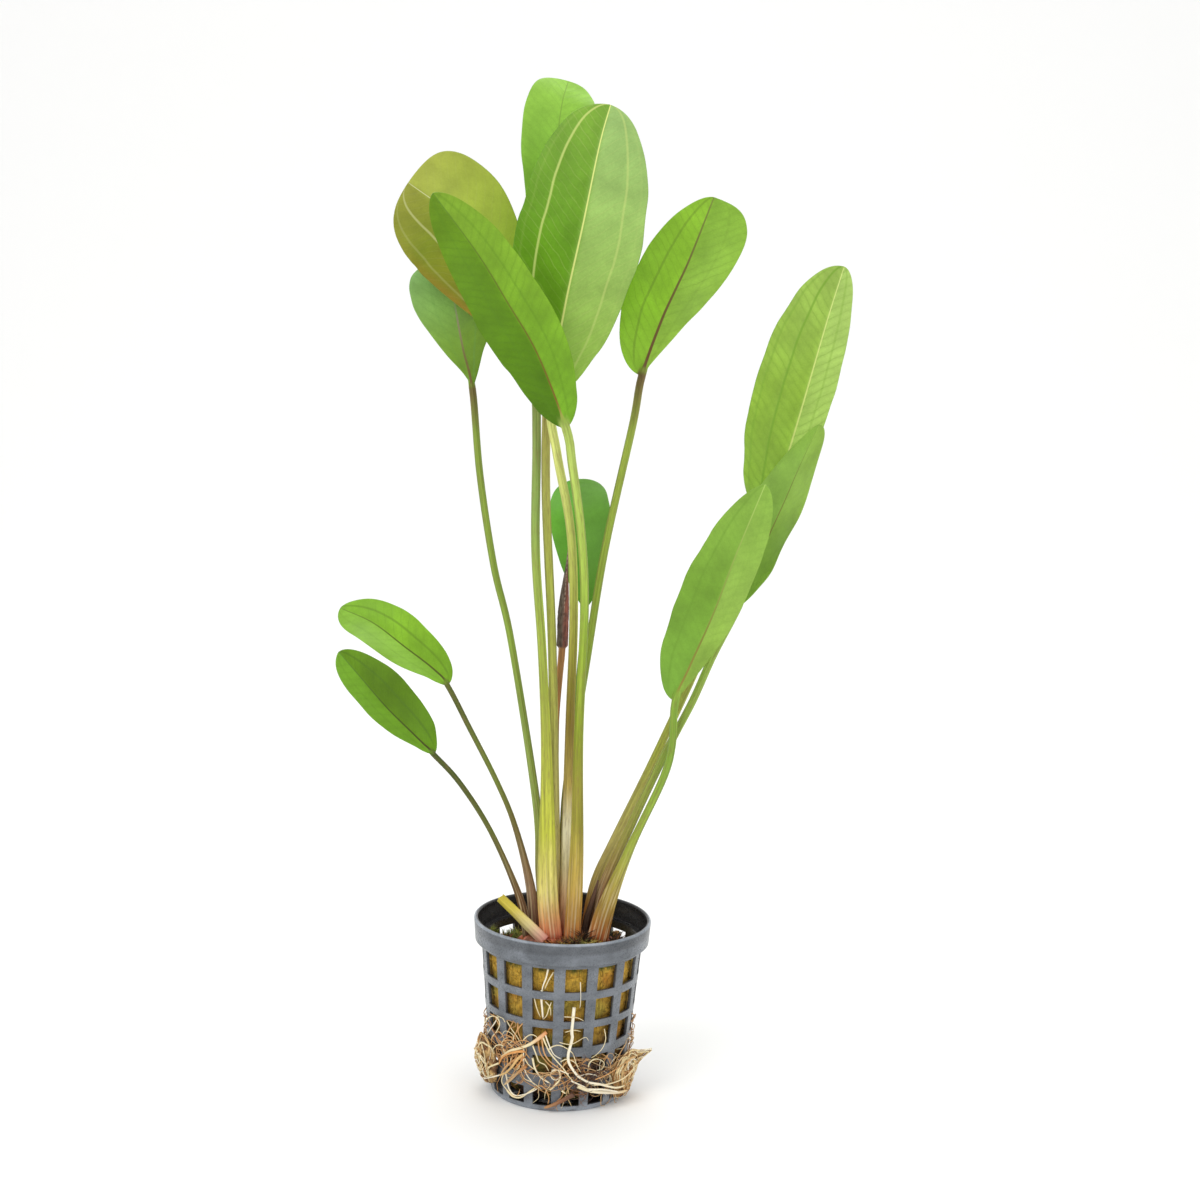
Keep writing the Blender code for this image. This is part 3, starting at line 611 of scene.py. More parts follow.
@dataclass
class NetPot:
    """The moulded pot, with rounded slots, collar and lip."""

    form: NetPotForm = POT
    steps_per_column: int = 9
    open_steps: int = 6
    edge_round: float = 0.28
    lip_round: float = 0.62
    lip_steps: int = 6
    # Outside and inside, as radius and height: the foot's round corner, and where the lip starts
    foot_bend: tuple = (((19.6, 0.0), (19.2, 1.2)), ((20.35, 0.15), (19.5, 1.3)))
    wall_start: float = 0.7
    lip_foot: tuple = ((27.3, 53.2), (26.1, 53.2))

    def profile(self) -> list[tuple[Point, Point, bool]]:
        """Gives the section from the floor's disc to the lip.

        Returns:
            For each ring its place outside and inside, as radius and height, and whether slots follow it.
        """
        pot, wall = self.form, self.form.wall
        inner, outer = pot.floor_slots
        bands = [
            ((inner, 0.0), (inner, pot.floor), True),
            ((outer, 0.0), (outer, pot.floor), False),
            *((*spots, False) for spots in self.foot_bend),
            ((pot.radius(self.wall_start), 0.75), (pot.radius(self.wall_start) - wall, pot.floor + 0.35), False),
        ]
        for row in pot.rows:
            for height, slotted in zip(row, (True, False)):
                bands.append(((pot.radius(height), height), (pot.radius(height) - wall, height), slotted))
        collar = pot.wall_top_radius + pot.collar_step
        bands += [
            ((pot.wall_top_radius, pot.collar_foot), (pot.wall_top_radius - wall, pot.collar_foot + wall), False),
            ((collar - pot.collar_round, pot.collar_foot), (collar - wall - 0.1, pot.collar_foot + wall), False),
            ((collar, pot.collar_foot + pot.collar_round), (collar - wall, pot.collar_foot + wall + 0.2), False),
            (*self.lip_foot, False),
        ]
        centre = pot.rim_radius - self.lip_round
        for step in range(self.lip_steps):
            turn = math.pi * step / self.lip_steps * 0.5
            up = pot.height - self.lip_round + self.lip_round * math.sin(turn)
            outer, inner = centre + self.lip_round * math.cos(turn), centre - (self.lip_round + 0.05) * math.cos(turn)
            bands.append(((outer, up), (inner, up), False))
        return bands

    def build(self) -> Piece:
        """Makes the pot and rounds its edges.

        Returns:
            The pot's object.
        """
        draft, bands, around = Draft(), self.profile(), self.form.around
        steps = self.form.columns * self.steps_per_column
        turns = [self.form.first_bearing + 360 / steps * step for step in range(steps)]
        skins = []
        for side in (0, 1):
            spots = [band[side] for band in bands]
            skins.append([[draft.add(around(out, turn, up), inner=float(side)) for turn in turns] for out, up in spots])
        outside, inside = skins
        for band, step in product(range(len(bands) - 1), range(steps)):
            after = (step + 1) % steps
            is_open, next_open = (
                bands[band][2] and place % self.steps_per_column < self.open_steps for place in (step, after)
            )
            # The walls of a slot stand at its sides, and above and below it
            if is_open != next_open:
                (low, high), (inner_low, inner_high) = ((skin[band][after], skin[band + 1][after]) for skin in skins)
                draft.faces.append((low, high, inner_high, inner_low))
            if is_open:
                for out, inn in ((outside[row], inside[row]) for row in (band, band + 1)):
                    draft.faces.append((out[step], out[after], inn[after], inn[step]))
                continue
            for low, high in ((skin[band], skin[band + 1]) for skin in skins):
                draft.faces.append((low[step], low[after], high[after], high[step]))
        for step in range(steps):
            after = (step + 1) % steps
            draft.faces.append((outside[-1][step], outside[-1][after], inside[-1][after], inside[-1][step]))
        draft.faces.append(tuple(outside[0]))
        draft.faces.append(tuple(inside[0]))
        pot = draft.to_object("moulded_net_pot", PotPlastic(), "pot_plastic", ["net_pot"])
        apply_modifiers(pot, self.edge_round)
        return pot


def apply_modifiers(piece: Piece, width: float) -> None:
    """Turns a piece's faces outwards and rounds its sharp edges.

    Args:
        piece: The object to change.
        width: How far back the rounding starts, in millimetres.
    """
    work = bmesh.new()
    work.from_mesh(piece.data)
    bmesh.ops.recalc_face_normals(work, faces=work.faces)
    work.to_mesh(piece.data)
    work.free()
    bevel = piece.modifiers.new("edge_round", "BEVEL")
    bevel.width = width * MM
    bevel.segments = 2
    bevel.limit_method = "ANGLE"
    bevel.angle_limit = SHARP
    bevel.harden_normals = True
    graph = bpy.context.evaluated_depsgraph_get()
    mesh = bpy.data.meshes.new_from_object(piece.evaluated_get(graph))
    piece.modifiers.clear()
    piece.data = mesh


class Side(Enum):
    """Which side of a leaf faces the front."""

    UPPER = 0.0
    UNDER = 180.0


@dataclass(frozen=True)
class Half:
    """One half of a blade: its form as the solids have it, its colours from base to tip, and its side veins.

    A side vein is its place across the half and how strongly it shows.
    """

    width: float
    base_power: float
    tip_power: float
    # The colours hold painted light and shade with the tissue's own tone: a half turned to the light is painted paler
    # than one turned away
    colours: Stops
    veins: tuple[tuple[float, float], ...] = ((0.5, 0.2),)
    edge: str = ""

    def at(self, share: float) -> float:
        """Gives its width from the base at 0 to the tip at 1."""
        widest = self.base_power / (self.base_power + self.tip_power)
        rise = (share / widest) ** self.base_power
        return self.width * rise * (max(0.0, 1 - share) / (1 - widest)) ** self.tip_power

    def places(self) -> list[float]:
        """Gives the places of the mesh's lines across it, close together at each vein and at the edge.

        Returns:
            The places in rising order, from 0 at the midrib to 1 at the margin.
        """
        near = 0.75 / self.width
        lines = {0.025, 0.05, 0.09, 0.15, 0.93, 0.97, 0.99, *(0.23 + 0.09 * line for line in range(8))}
        for vein, _ in self.veins:
            lines = {line for line in lines if abs(line - vein) > 1.3 * near}
            lines |= {vein - near, vein - near / 2, vein, vein + near / 2, vein + near}
        return [0.0, *sorted(lines), 1.0]

    def nearest_vein(self, place: float) -> tuple[float, float]:
        """Gives how far the nearest side vein is, as a share of the half, and its strength."""
        return min((abs(place - vein), strength) for vein, strength in self.veins)


@dataclass(frozen=True)
class LeafForm:
    """Sizes, places and colours of one leaf. Its halves are named as its upper side is seen, tip up."""

    name: str
    foot: Point
    foot_size: Point
    stalk: tuple
    stalk_radius: float
    midrib: tuple
    right: Half
    left: Half
    roll: float
    fold: float
    stalk_tints: Stops
    rib_tints: Stops
    rib_line: float
    vein: str
    cross_veins: float
    back: str = "#9cc068"
    twist: float = 0.0
    wave: float = 0.5
    quilt: float = 0.05
    slot: str = "leaf_green"

    @property
    def facing(self) -> Side:
        """Says which side the front sees."""
        return Side.UNDER if abs(self.roll) > 90 else Side.UPPER


# The leaves, with the places that the solids have
LEAVES: tuple[LeafForm, ...] = (
    LeafForm(
        "leaf_tall_back", foot=(-3.7, 0.9), foot_size=(1.9, 1.5), stalk_radius=1.3, roll=0, fold=12, rib_line=0.3,
        vein="#76a636", cross_veins=0.2,
        stalk=((-3.3, 0.5, 66), (-3.6, 0.4, 86), (-6, 1, 140), (-9.5, 6, 186), (-10.3, 10.5, 211)),
        midrib=((-10.4, 14, 230), (-10.2, 18, 262), (-10, 23, 291), (-9, 29, 304), (-7.4, 37, 311)),
        right=Half(11.7, 1.0, 0.34, ((0, "#7cab3e"), (0.5, "#86b53f"), (1, "#93c548")), ((0.5, 0.1),)),
        left=Half(11.7, 1.2, 0.3, ((0, "#80ac42"), (0.6, "#8dc043"), (1, "#97c84c")), ((0.5, 0.1),)),
        stalk_tints=(
            (50, "#dc9a78"), (58, "#dcbc8c"), (70, "#d2c886"), (90, "#c6be72"), (120, "#b6b65c"), (160, "#a8ae50"),
            (185, "#acac5a"), (211, "#a49c54"),
        ),
        rib_tints=((0, "#98a650"), (0.5, "#74963a"), (1, "#7ea23e")),
    ),
    LeafForm(
        "leaf_tall_centre", foot=(0.7, 0.3), foot_size=(2.1, 1.5), stalk_radius=1.3, roll=180, fold=12, quilt=0.17,
        rib_line=0.36, vein="#cfda80", cross_veins=0.16, back="#72b034",
        stalk=((0.9, 0.4, 64), (0.6, 0.5, 84), (0.2, 0, 118), (0.2, -0.5, 152), (-1.6, -1, 178), (-6.4, -2, 201)),
        midrib=((-9, -3, 218), (-5.6, -5.5, 245), (-1, -6, 270), (3, -2, 293), (5.9, 4, 305)),
        right=Half(20, 0.62, 0.5, ((0, "#68961c"), (0.5, "#679a1e"), (1, "#7aa43a")), ((0.62, 0.62), (0.88, 0.06))),
        left=Half(19.4, 0.62, 0.5, ((0, "#93bc44"), (0.35, "#98bc58"), (1, "#9cc070")), ((0.62, 0.3), (0.88, 0.05))),
        stalk_tints=(
            # The pale stop at 84 mm is a painted highlight on the stalk
            (50, "#d4785e"), (60, "#dcac80"), (72, "#d4ca9c"), (84, "#e8e2c0"), (98, "#b4a054"), (118, "#867430"),
            (140, "#9a963c"), (170, "#b4bc5c"), (201, "#c6cc74"),
        ),
        rib_tints=((0, "#c6d074"), (0.3, "#d2da7e"), (1, "#d8e084")),
    ),
    LeafForm(
        "leaf_olive_left", foot=(-3.1, -3.4), foot_size=(3.3, 1.4), stalk_radius=1.3, roll=180, fold=16,
        slot="leaf_olive", rib_line=0.22, vein="#bcbe80", cross_veins=0.08, back="#8fa838",
        stalk=((-4.9, -3.3, 66), (-6.4, -3, 105), (-9, -2.5, 141), (-12, -1, 172), (-12.8, 2.6, 205)),
        midrib=((-14.4, 5, 222), (-21.2, 5.5, 241), (-31, 7.5, 258), (-41, 10.5, 270.5), (-54.5, 16, 279.5)),
        right=Half(
            20.4, 1.2, 0.4, ((0, "#747618"), (0.45, "#80821c"), (0.75, "#7c8a22"), (1, "#929638")),
            ((0.45, 0.6), (0.8, 0.2)), edge="#a8702c",
        ),
        left=Half(18.2, 1.4, 0.36, ((0, "#9ab83a"), (0.5, "#a6c040"), (1, "#a8b048")), ((0.5, 0.0),)),
        stalk_tints=(
            (50, "#d87058"), (56, "#e0a068"), (64, "#d8ca72"), (84, "#b2b640"), (110, "#a6ac44"), (150, "#98aa48"),
            (185, "#86a050"), (205, "#7c8c4a"),
        ),
        rib_tints=((0, "#a4a446"), (0.5, "#acac58"), (0.85, "#c8cc98"), (1, "#c0c48a")),
    ),
    LeafForm(
        "leaf_front_left", foot=(3.1, -3.7), foot_size=(2.5, 1.4), stalk_radius=1.3, roll=0, fold=28, rib_line=0.3,
        vein="#557f18", cross_veins=0.2,
        stalk=((3.6, -4.4, 78), (3, -5, 116), (3.4, -5, 154), (1.6, -5.6, 178), (-1.8, -7, 199)),
        midrib=((-4, -8, 210), (-12.8, -14, 232), (-21.9, -20, 247.5), (-31, -25, 262), (-44, -30, 279)),
        right=Half(12.5, 0.6, 0.62, ((0, "#78ac26"), (0.5, "#80b02a"), (1, "#7ea42e")), ((0.45, 0.3),)),
        left=Half(
            12.5, 0.6, 0.62, ((0, "#4a7206"), (0.35, "#5c8810"), (0.7, "#648f18"), (1, "#668c1a")), ((0.45, 0.3),),
        ),
        stalk_tints=(
            (50, "#cc7040"), (57, "#c4944a"), (68, "#bca04c"), (88, "#8f8a34"), (98, "#948e38"), (116, "#8a982e"),
            (150, "#8ea83c"), (199, "#a4b85a"),
        ),
        rib_tints=((0, "#9a9440"), (0.12, "#7a5a24"), (0.4, "#6a6420"), (0.7, "#5c7420"), (1, "#5c8424")),
    ),
    LeafForm(
        "leaf_left", foot=(-5.4, 3.9), foot_size=(1.5, 1.2), stalk_radius=1.05, roll=0, fold=18,
        slot="leaf_deep_green", rib_line=0.42, vein="#608c44", cross_veins=0.16,
        stalk=((-7.6, 5.4, 68), (-9.4, 6.8, 90), (-18.9, 9, 141), (-24.9, 10, 164), (-30, 11, 192)),
        midrib=((-33, 11.6, 218), (-36.3, 14, 230), (-38.7, 17, 240), (-40.5, 20.5, 248), (-42.6, 25, 257)),
        right=Half(15, 1.15, 0.4, ((0, "#6c902a"), (0.4, "#74982e"), (1, "#82ac62")), ((0.5, 0.3),)),
        left=Half(
            14, 1.4, 0.45, ((0, "#789c2c"), (0.35, "#7ea440"), (0.7, "#8ab460"), (1, "#8cb870")), ((0.5, 0.15),),
        ),
        stalk_tints=(
            (50, "#846038"), (70, "#848438"), (90, "#8a9c50"), (141, "#7f963c"), (205, "#7a8e3a"), (217, "#6f6438"),
        ),
        rib_tints=((0, "#6c5632"), (0.25, "#746a3c"), (0.5, "#8f8a68"), (0.7, "#7fa868"), (1, "#86b070")),
    ),
    LeafForm(
        "leaf_right", foot=(0.2, 4.2), foot_size=(1.6, 1.2), stalk_radius=1.15, roll=-8, fold=10, rib_line=0.48,
        vein="#627a26", cross_veins=0.18, quilt=0.17,
        stalk=((-0.4, 6, 76), (0, 7, 98), (4.6, 9.6, 136), (9, 11, 171), (16, 12, 209)),
        midrib=((18.2, 12, 224), (23.4, 13.5, 240.5), (27.6, 16, 250.5), (31.5, 19, 259.5), (38.4, 27, 278)),
        right=Half(14.6, 1.1, 0.3, ((0, "#98c244"), (0.5, "#92bc44"), (1, "#88b43c")), ((0.55, 0.12),)),
        left=Half(14.4, 0.5, 0.6, ((0, "#94c43a"), (0.35, "#94c832"), (1, "#90c036")), ((0.52, 0.42),)),
        stalk_tints=(
            (50, "#987238"), (76, "#827c30"), (98, "#78842e"), (136, "#849a38"), (208, "#8fa042"), (223, "#705e38"),
        ),
        rib_tints=((0, "#6a4a30"), (0.25, "#6c5230"), (0.6, "#6f6634"), (1, "#77883a")),
    ),
    LeafForm(
        "leaf_far_right", foot=(7.4, 2.6), foot_size=(1.8, 1.4), stalk_radius=1.2, roll=180, fold=16, quilt=0.26,
        rib_line=0.34, vein="#719a2e", cross_veins=0.3, back="#6fae34",
        stalk=((9.8, 3, 66), (15.2, 3.4, 80), (28, 4.6, 110), (41, 7, 142), (49, 9.4, 166)),
        midrib=((58, 12, 180), (62.4, 14.4, 196), (67.2, 17.6, 214), (74.4, 23.2, 242), (79.2, 28, 258.5)),
        right=Half(16.8, 0.52, 0.5, ((0, "#8ab23c"), (0.5, "#92b83e"), (1, "#9cbc56")), ((0.47, 0.75), (0.85, 0.35))),
        left=Half(9.4, 0.52, 0.5, ((0, "#98bc50"), (0.5, "#a2c45c"), (1, "#aaca68")), ((0.5, 0.3),)),
        stalk_tints=(
            (50, "#b4663e"), (60, "#aa8240"), (66, "#a89854"), (80, "#aaa05c"), (110, "#92983c"), (166, "#a2b054"),
        ),
        rib_tints=((0, "#b0c066"), (0.5, "#c2d274"), (1, "#c8d880")),
    ),
    LeafForm(
        "leaf_low_right_back", foot=(9.8, 0.1), foot_size=(1.9, 1.3), stalk_radius=1.15, roll=-32, twist=-42, fold=14,
        wave=1.5, slot="leaf_deep_green", rib_line=0.3, vein="#6f9a3a", cross_veins=0.08,
        stalk=((11.8, -1, 65), (20.6, -1.5, 88), (30.6, -2, 112), (37.5, -2, 127), (43, -1.4, 141)),
        midrib=((50, 0, 156), (54.3, 0, 168), (62.2, 1, 187.5), (66.6, 3, 198.6), (72.6, 8, 212)),
        right=Half(11.6, 0.9, 0.5, ((0, "#86b042"), (0.5, "#94ba4e"), (1, "#96ba52")), ((0.5, 0.05),)),
        left=Half(12, 0.7, 0.5, ((0, "#8cb448"), (0.5, "#88b04a"), (1, "#8eb64c")), ((0.5, 0.05),)),
        stalk_tints=((50, "#82543c"), (65, "#886240"), (88, "#8e9244"), (112, "#82983e"), (141, "#94b04e")),
        rib_tints=((0, "#8a8438"), (0.3, "#7c7438"), (0.7, "#747c38"), (1, "#86a84a")),
    ),
    LeafForm(
        "leaf_low_right_front", foot=(10.7, -4), foot_size=(3.2, 1.4), stalk_radius=1.15, roll=-22, fold=22,
        rib_line=0.36, vein="#648c2c", cross_veins=0.1,
        stalk=((13.6, -4.3, 62), (20.6, -5.2, 82), (29.2, -6, 103), (31.6, -6.1, 114)),
        midrib=((32, -6.3, 127.5), (36, -7.6, 139), (42.2, -9.6, 155.5), (48.3, -12.4, 175), (55.6, -17.5, 197)),
        right=Half(9.6, 1.0, 0.6, ((0, "#8cae44"), (0.5, "#95ba50"), (1, "#8cb548")), ((0.5, 0.08),)),
        left=Half(12.8, 0.5, 0.68, ((0, "#7aa83c"), (0.5, "#78a336"), (1, "#8cb548")), ((0.62, 0.35),)),
        stalk_tints=((50, "#b85c36"), (60, "#a88840"), (80, "#8e9a3c"), (103, "#7e9c3a"), (127, "#80a03a")),
        rib_tints=((0, "#8f7c3a"), (0.3, "#7f8036"), (0.6, "#8aa048"), (1, "#a4c462")),
    ),
    LeafForm(
        "leaf_inner_back", foot=(3.6, 4.4), foot_size=(1.2, 1.1), stalk_radius=0.9, roll=0, fold=10,
        slot="leaf_deep_green", rib_line=0.25, vein="#5a9030", cross_veins=0.05,
        stalk=((2.6, 6.6, 72), (1.8, 9, 92), (1.8, 11.5, 118)),
        midrib=((3.4, 14, 151), (2.2, 19, 166), (0.9, 26, 178), (-0.6, 38, 187.8)),
        right=Half(10, 0.75, 0.36, ((0, "#5f9630"), (1, "#6a9e3e")), ((0.5, 0.08),)),
        left=Half(10, 0.75, 0.36, ((0, "#5f9c30"), (1, "#68aa38")), ((0.5, 0.08),)),
        stalk_tints=((50, "#74622c"), (72, "#74782c"), (118, "#689034")),
        rib_tints=((0, "#647032"), (0.3, "#5f9434"), (1, "#64a038")),
    ),
    LeafForm(
        "leaf_small_upper_left", foot=(-8.6, 1.7), foot_size=(1.8, 1.2), stalk_radius=0.8, roll=42, fold=20,
        rib_line=0.36, vein="#587a1e", cross_veins=0.12,
        stalk=((-10.4, 3.8, 64), (-15.9, 6, 83), (-22, 6.5, 97), (-31, 6.2, 114)),
        midrib=((-38, 6, 127), (-42.6, 6.8, 131.8), (-51.8, 9, 138), (-62, 12.2, 144.5), (-72.6, 16, 148)),
        right=Half(9.8, 0.5, 0.5, ((0, "#7cac28"), (0.5, "#82b22b"), (1, "#7eae32")), ((0.5, 0.5),)),
        left=Half(9.6, 0.75, 0.5, ((0, "#7cac30"), (0.6, "#8ebc46"), (1, "#86b63c")), ((0.5, 0.15),)),
        stalk_tints=((50, "#6a4a38"), (62, "#94745c"), (83, "#766c3c"), (97, "#6e7c34"), (120, "#58602a")),
        rib_tints=((0, "#4c4a20"), (0.5, "#55691f"), (1, "#6c9030")),
    ),
    LeafForm(
        "leaf_small_lower_left", foot=(-10.8, -0.8), foot_size=(1.4, 1.2), stalk_radius=0.8, roll=46, fold=20,
        rib_line=0.36, vein="#4c6e1c", cross_veins=0.12,
        stalk=((-13.6, -0.7, 62), (-23.1, -1, 83), (-32.9, -3, 98.5)),
        midrib=((-41, -4, 107.4), (-47.4, -5.5, 114), (-55.4, -7.8, 122.4), (-63, -11, 132), (-69.8, -15, 141)),
        right=Half(10.6, 0.5, 0.6, ((0, "#6c9a1e"), (0.5, "#5c8210"), (1, "#66901e")), ((0.5, 0.5),)),
        left=Half(8.7, 0.9, 0.5, ((0, "#70a026"), (0.5, "#72a22a"), (1, "#78aa30")), ((0.5, 0.15),)),
        stalk_tints=((50, "#583a2c"), (62, "#684a30"), (83, "#656a30"), (100, "#485222")),
        rib_tints=((0, "#443e1c"), (0.5, "#4a5c20"), (1, "#5f8a2c")),
    ),
)


@dataclass(frozen=True)
class Section:
    """One section across a leaf, and what all its points have in common.

    The share is 0 on the stalk and where the blade starts, and 1 at the tip.
    """

    along: float
    past_base: float
    share: float
    centre: Vector
    upper: Vector
    side: Vector
    fold: float
    rib: float
    half_width: float
    half_depth: float
    rib_line: float
    stalk_tint: Colour
    rib_tint: Colour


@dataclass
class Leaf:
    """One leaf, stalk and blade grown as one."""

    form: LeafForm
    foot_height: float = 49.4
    # The stalk's foot widens to a sheath, which ends at this share of the stalk's length
    sheath_reach: float = 0.625
    blade_thickness: float = 0.42
    ring_step_stalk: float = 2.6
    ring_step_blade: float = 0.52
    stalk_ridges: int = 9
    ridge_height: float = 0.05
    vein_height: float = 0.14
    vein_reach: float = 0.7
    # How far the quilts run back for each millimetre from the midrib
    slant: float = 0.9
    quilt_spacing: float = 3.1
    wave_length: float = 27.0
    # The solids' outlines are faceted, so the mesh stays a little inside their curves
    inside_solid: float = 0.978
    tip_short: float = 0.994
    uneven_edge: float = 0.035
    # How much less the midrib stands out on the upper side and below than the stalk does
    level_above: float = 0.8
    level_below: float = 0.25

    def build(self) -> Piece:
        """Makes the leaf.

        Returns:
            The leaf's object.
        """
        form = self.form
        route = Route(((*form.foot, self.foot_height), *form.stalk, *form.midrib))
        base = route.distance_to(len(form.stalk) + 1)
        blade = (route.length - base) * self.tip_short
        count = round(base / self.ring_step_stalk)
        places = [base * step / count for step in range(count)]
        count = round(blade / self.ring_step_blade)
        places += [base + blade * ((1 - math.cos(math.pi * step / count)) / 2) for step in range(1, count)]
        over = [(-u, form.left) for u in reversed(form.left.places())][:-1]
        over += [(u, form.right) for u in form.right.places()]
        trip = [(u, half, 1) for u, half in over] + [(u, half, -1) for u, half in reversed(over[1:-1])]
        draft, rings = Draft(), []
        for along in places:
            section = self.section(route, along, base, blade)
            rings.append([self.add(draft, section, u, half, way) for u, half, way in trip])
        draft.skin(rings)
        return draft.to_object(form.name.replace("leaf_", "grown_leaf_"), LeafTissue(), form.slot, [form.name])

    def section(self, route: Route, along: float, base: float, blade: float) -> Section:
        """Works out one section.

        Args:
            route: The leaf's line.
            along: Where the section stands on it.
            base: Where the blade starts on it.
            blade: The blade's length.

        Returns:
            The section.
        """
        form = self.form
        share = max(0.0, (along - base) / blade)
        sheath = (1 - eased(along / base / self.sheath_reach)) ** 2
        # The stalk runs on as the midrib, and thins to the tip
        rib = form.stalk_radius * (1 - 0.45 * eased(share / 0.2)) * (0.1 + 0.9 * (1 - share) ** 0.8)
        rest = form.facing.value
        turned = form.roll + form.twist * share if share else rest + (form.roll - rest) * eased(along / base)
        roll = math.radians(turned)
        heading, front = route.heading(along), Vector((0, -1, 0))
        face = (front - front.dot(heading) * heading).normalized()
        level = heading.cross(face)
        centre = route.at(along)
        stalk_tint = shade_at(form.stalk_tints, centre.z)
        return Section(
            along=along,
            past_base=along - base,
            share=share,
            centre=centre,
            upper=face * math.cos(roll) + level * math.sin(roll),
            side=level * math.cos(roll) - face * math.sin(roll),
            fold=math.radians(form.fold) * eased(share / 0.15) * (1 - share**6),
            rib=rib,
            half_width=rib + (form.foot_size[0] - form.stalk_radius) * sheath,
            half_depth=rib + (form.foot_size[1] - form.stalk_radius) * sheath,
            rib_line=rib + (form.rib_line * (1 - 0.55 * share) - rib) * eased(share / 0.07),
            stalk_tint=stalk_tint,
            rib_tint=mixed(stalk_tint, shade_at(form.rib_tints, share), eased(share / 0.1)),
        )

    def add(self, draft: Draft, section: Section, u: float, half: Half, way: int) -> int:
        """Adds one point of a section.

        Args:
            draft: The mesh in the making.
            section: The section.
            u: Where the point lies across, from -1 to 1.
            half: The half that it lies on.
            way: 1 on the upper side, -1 below.

        Returns:
            The point's number.
        """
        form, share = self.form, section.share
        uneven = eased(0.5 + noise.noise(Vector((section.along * 0.11, half.width, 1.7 if u > 0 else 6.1))))
        full = (self.inside_solid - self.uneven_edge * uneven) * half.at(share)
        width = max(section.half_width, full)
        reach = width * u
        # The halves fold up along the midrib, the margin waves, and the tissue is quilted between its cross veins
        lift = math.sqrt((reach * math.sin(section.fold)) ** 2 + 0.5) - math.sqrt(0.5)
        ripple = form.wave * eased(share / 0.3) * (1 - share) * abs(u) ** 3
        lift += ripple * math.sin(2 * math.pi * section.past_base / self.wave_length + (2.1 if u > 0 else 0.4))
        slant = section.past_base - abs(reach) * self.slant
        bumps = math.cos(2 * math.pi * slant / self.quilt_spacing) * math.sin(math.pi * min(1, abs(u) * 3))
        lift += form.quilt * eased(share / 0.1) * bumps
        # Spread is 0 on the round stalk and 1 on the flat blade
        spread = min(1.0, 2 * (width / section.half_width - 1))
        flat = self.blade_thickness / 2 * min(1.0, 2.2 * math.sqrt(1 - abs(u)) + 0.12) * spread
        turn = math.acos(max(-1.0, min(1.0, u)))
        ridge = 1 + self.ridge_height * math.cos(self.stalk_ridges * turn) * (1 - spread)
        levelled = (self.level_above if way > 0 else self.level_below) * eased(share / 0.12)
        stem = section.half_depth * math.sqrt(max(0.0, 1 - (reach / section.half_width) ** 2)) * (1 - levelled)
        apart, strength = half.nearest_vein(abs(u))
        apart *= width
        raised = self.vein_height * max(0.0, 1 - apart / self.vein_reach) * strength * spread * (way < 0)
        depth = math.hypot(stem, flat) * ridge + raised
        across = section.side * reach * ridge * math.cos(section.fold)
        off_rib = eased((abs(reach) - section.rib) / 0.9)
        stalky = (1 - eased(share / 0.06)) * (1 - off_rib) if share else 1.0
        return draft.add(
            section.centre + across + section.upper * (lift + way * depth),
            grain=(reach, way * depth, section.along),
            veins=(abs(reach) / section.rib_line, apart if share >= 0.02 else apart + 9.0, slant),
            marks=(strength * eased(share / 0.1), form.cross_veins, 1 - stalky),
            under=0.5 - 0.5 * way if abs(u) < 1 else 0.5,
            tint=mixed(self.ground(share, u, half, way), section.stalk_tint, stalky),
            rib=section.rib_tint,
            vein=linear(form.vein),
        )

    def ground(self, share: float, u: float, half: Half, way: int) -> Colour:
        """Gives the colour of the tissue between the veins.

        Args:
            share: How far along the blade the point lies.
            u: Where it lies across, from -1 to 1.
            half: The half that it lies on.
            way: 1 on the upper side, -1 below.

        Returns:
            The linear colour.
        """
        form = self.form
        if (way > 0) != (form.facing is Side.UPPER):
            return linear(form.back)
        # Each half's colours carry painted light and shade as well as the tissue's own tone
        left, right = shade_at(form.left.colours, share), shade_at(form.right.colours, share)
        tissue = mixed(left, right, eased(0.5 + u * 6))
        if half.edge:
            tissue = mixed(tissue, linear(half.edge), 0.7 * eased((abs(u) - 0.76) / 0.24) * (1 - share))
        return tissue


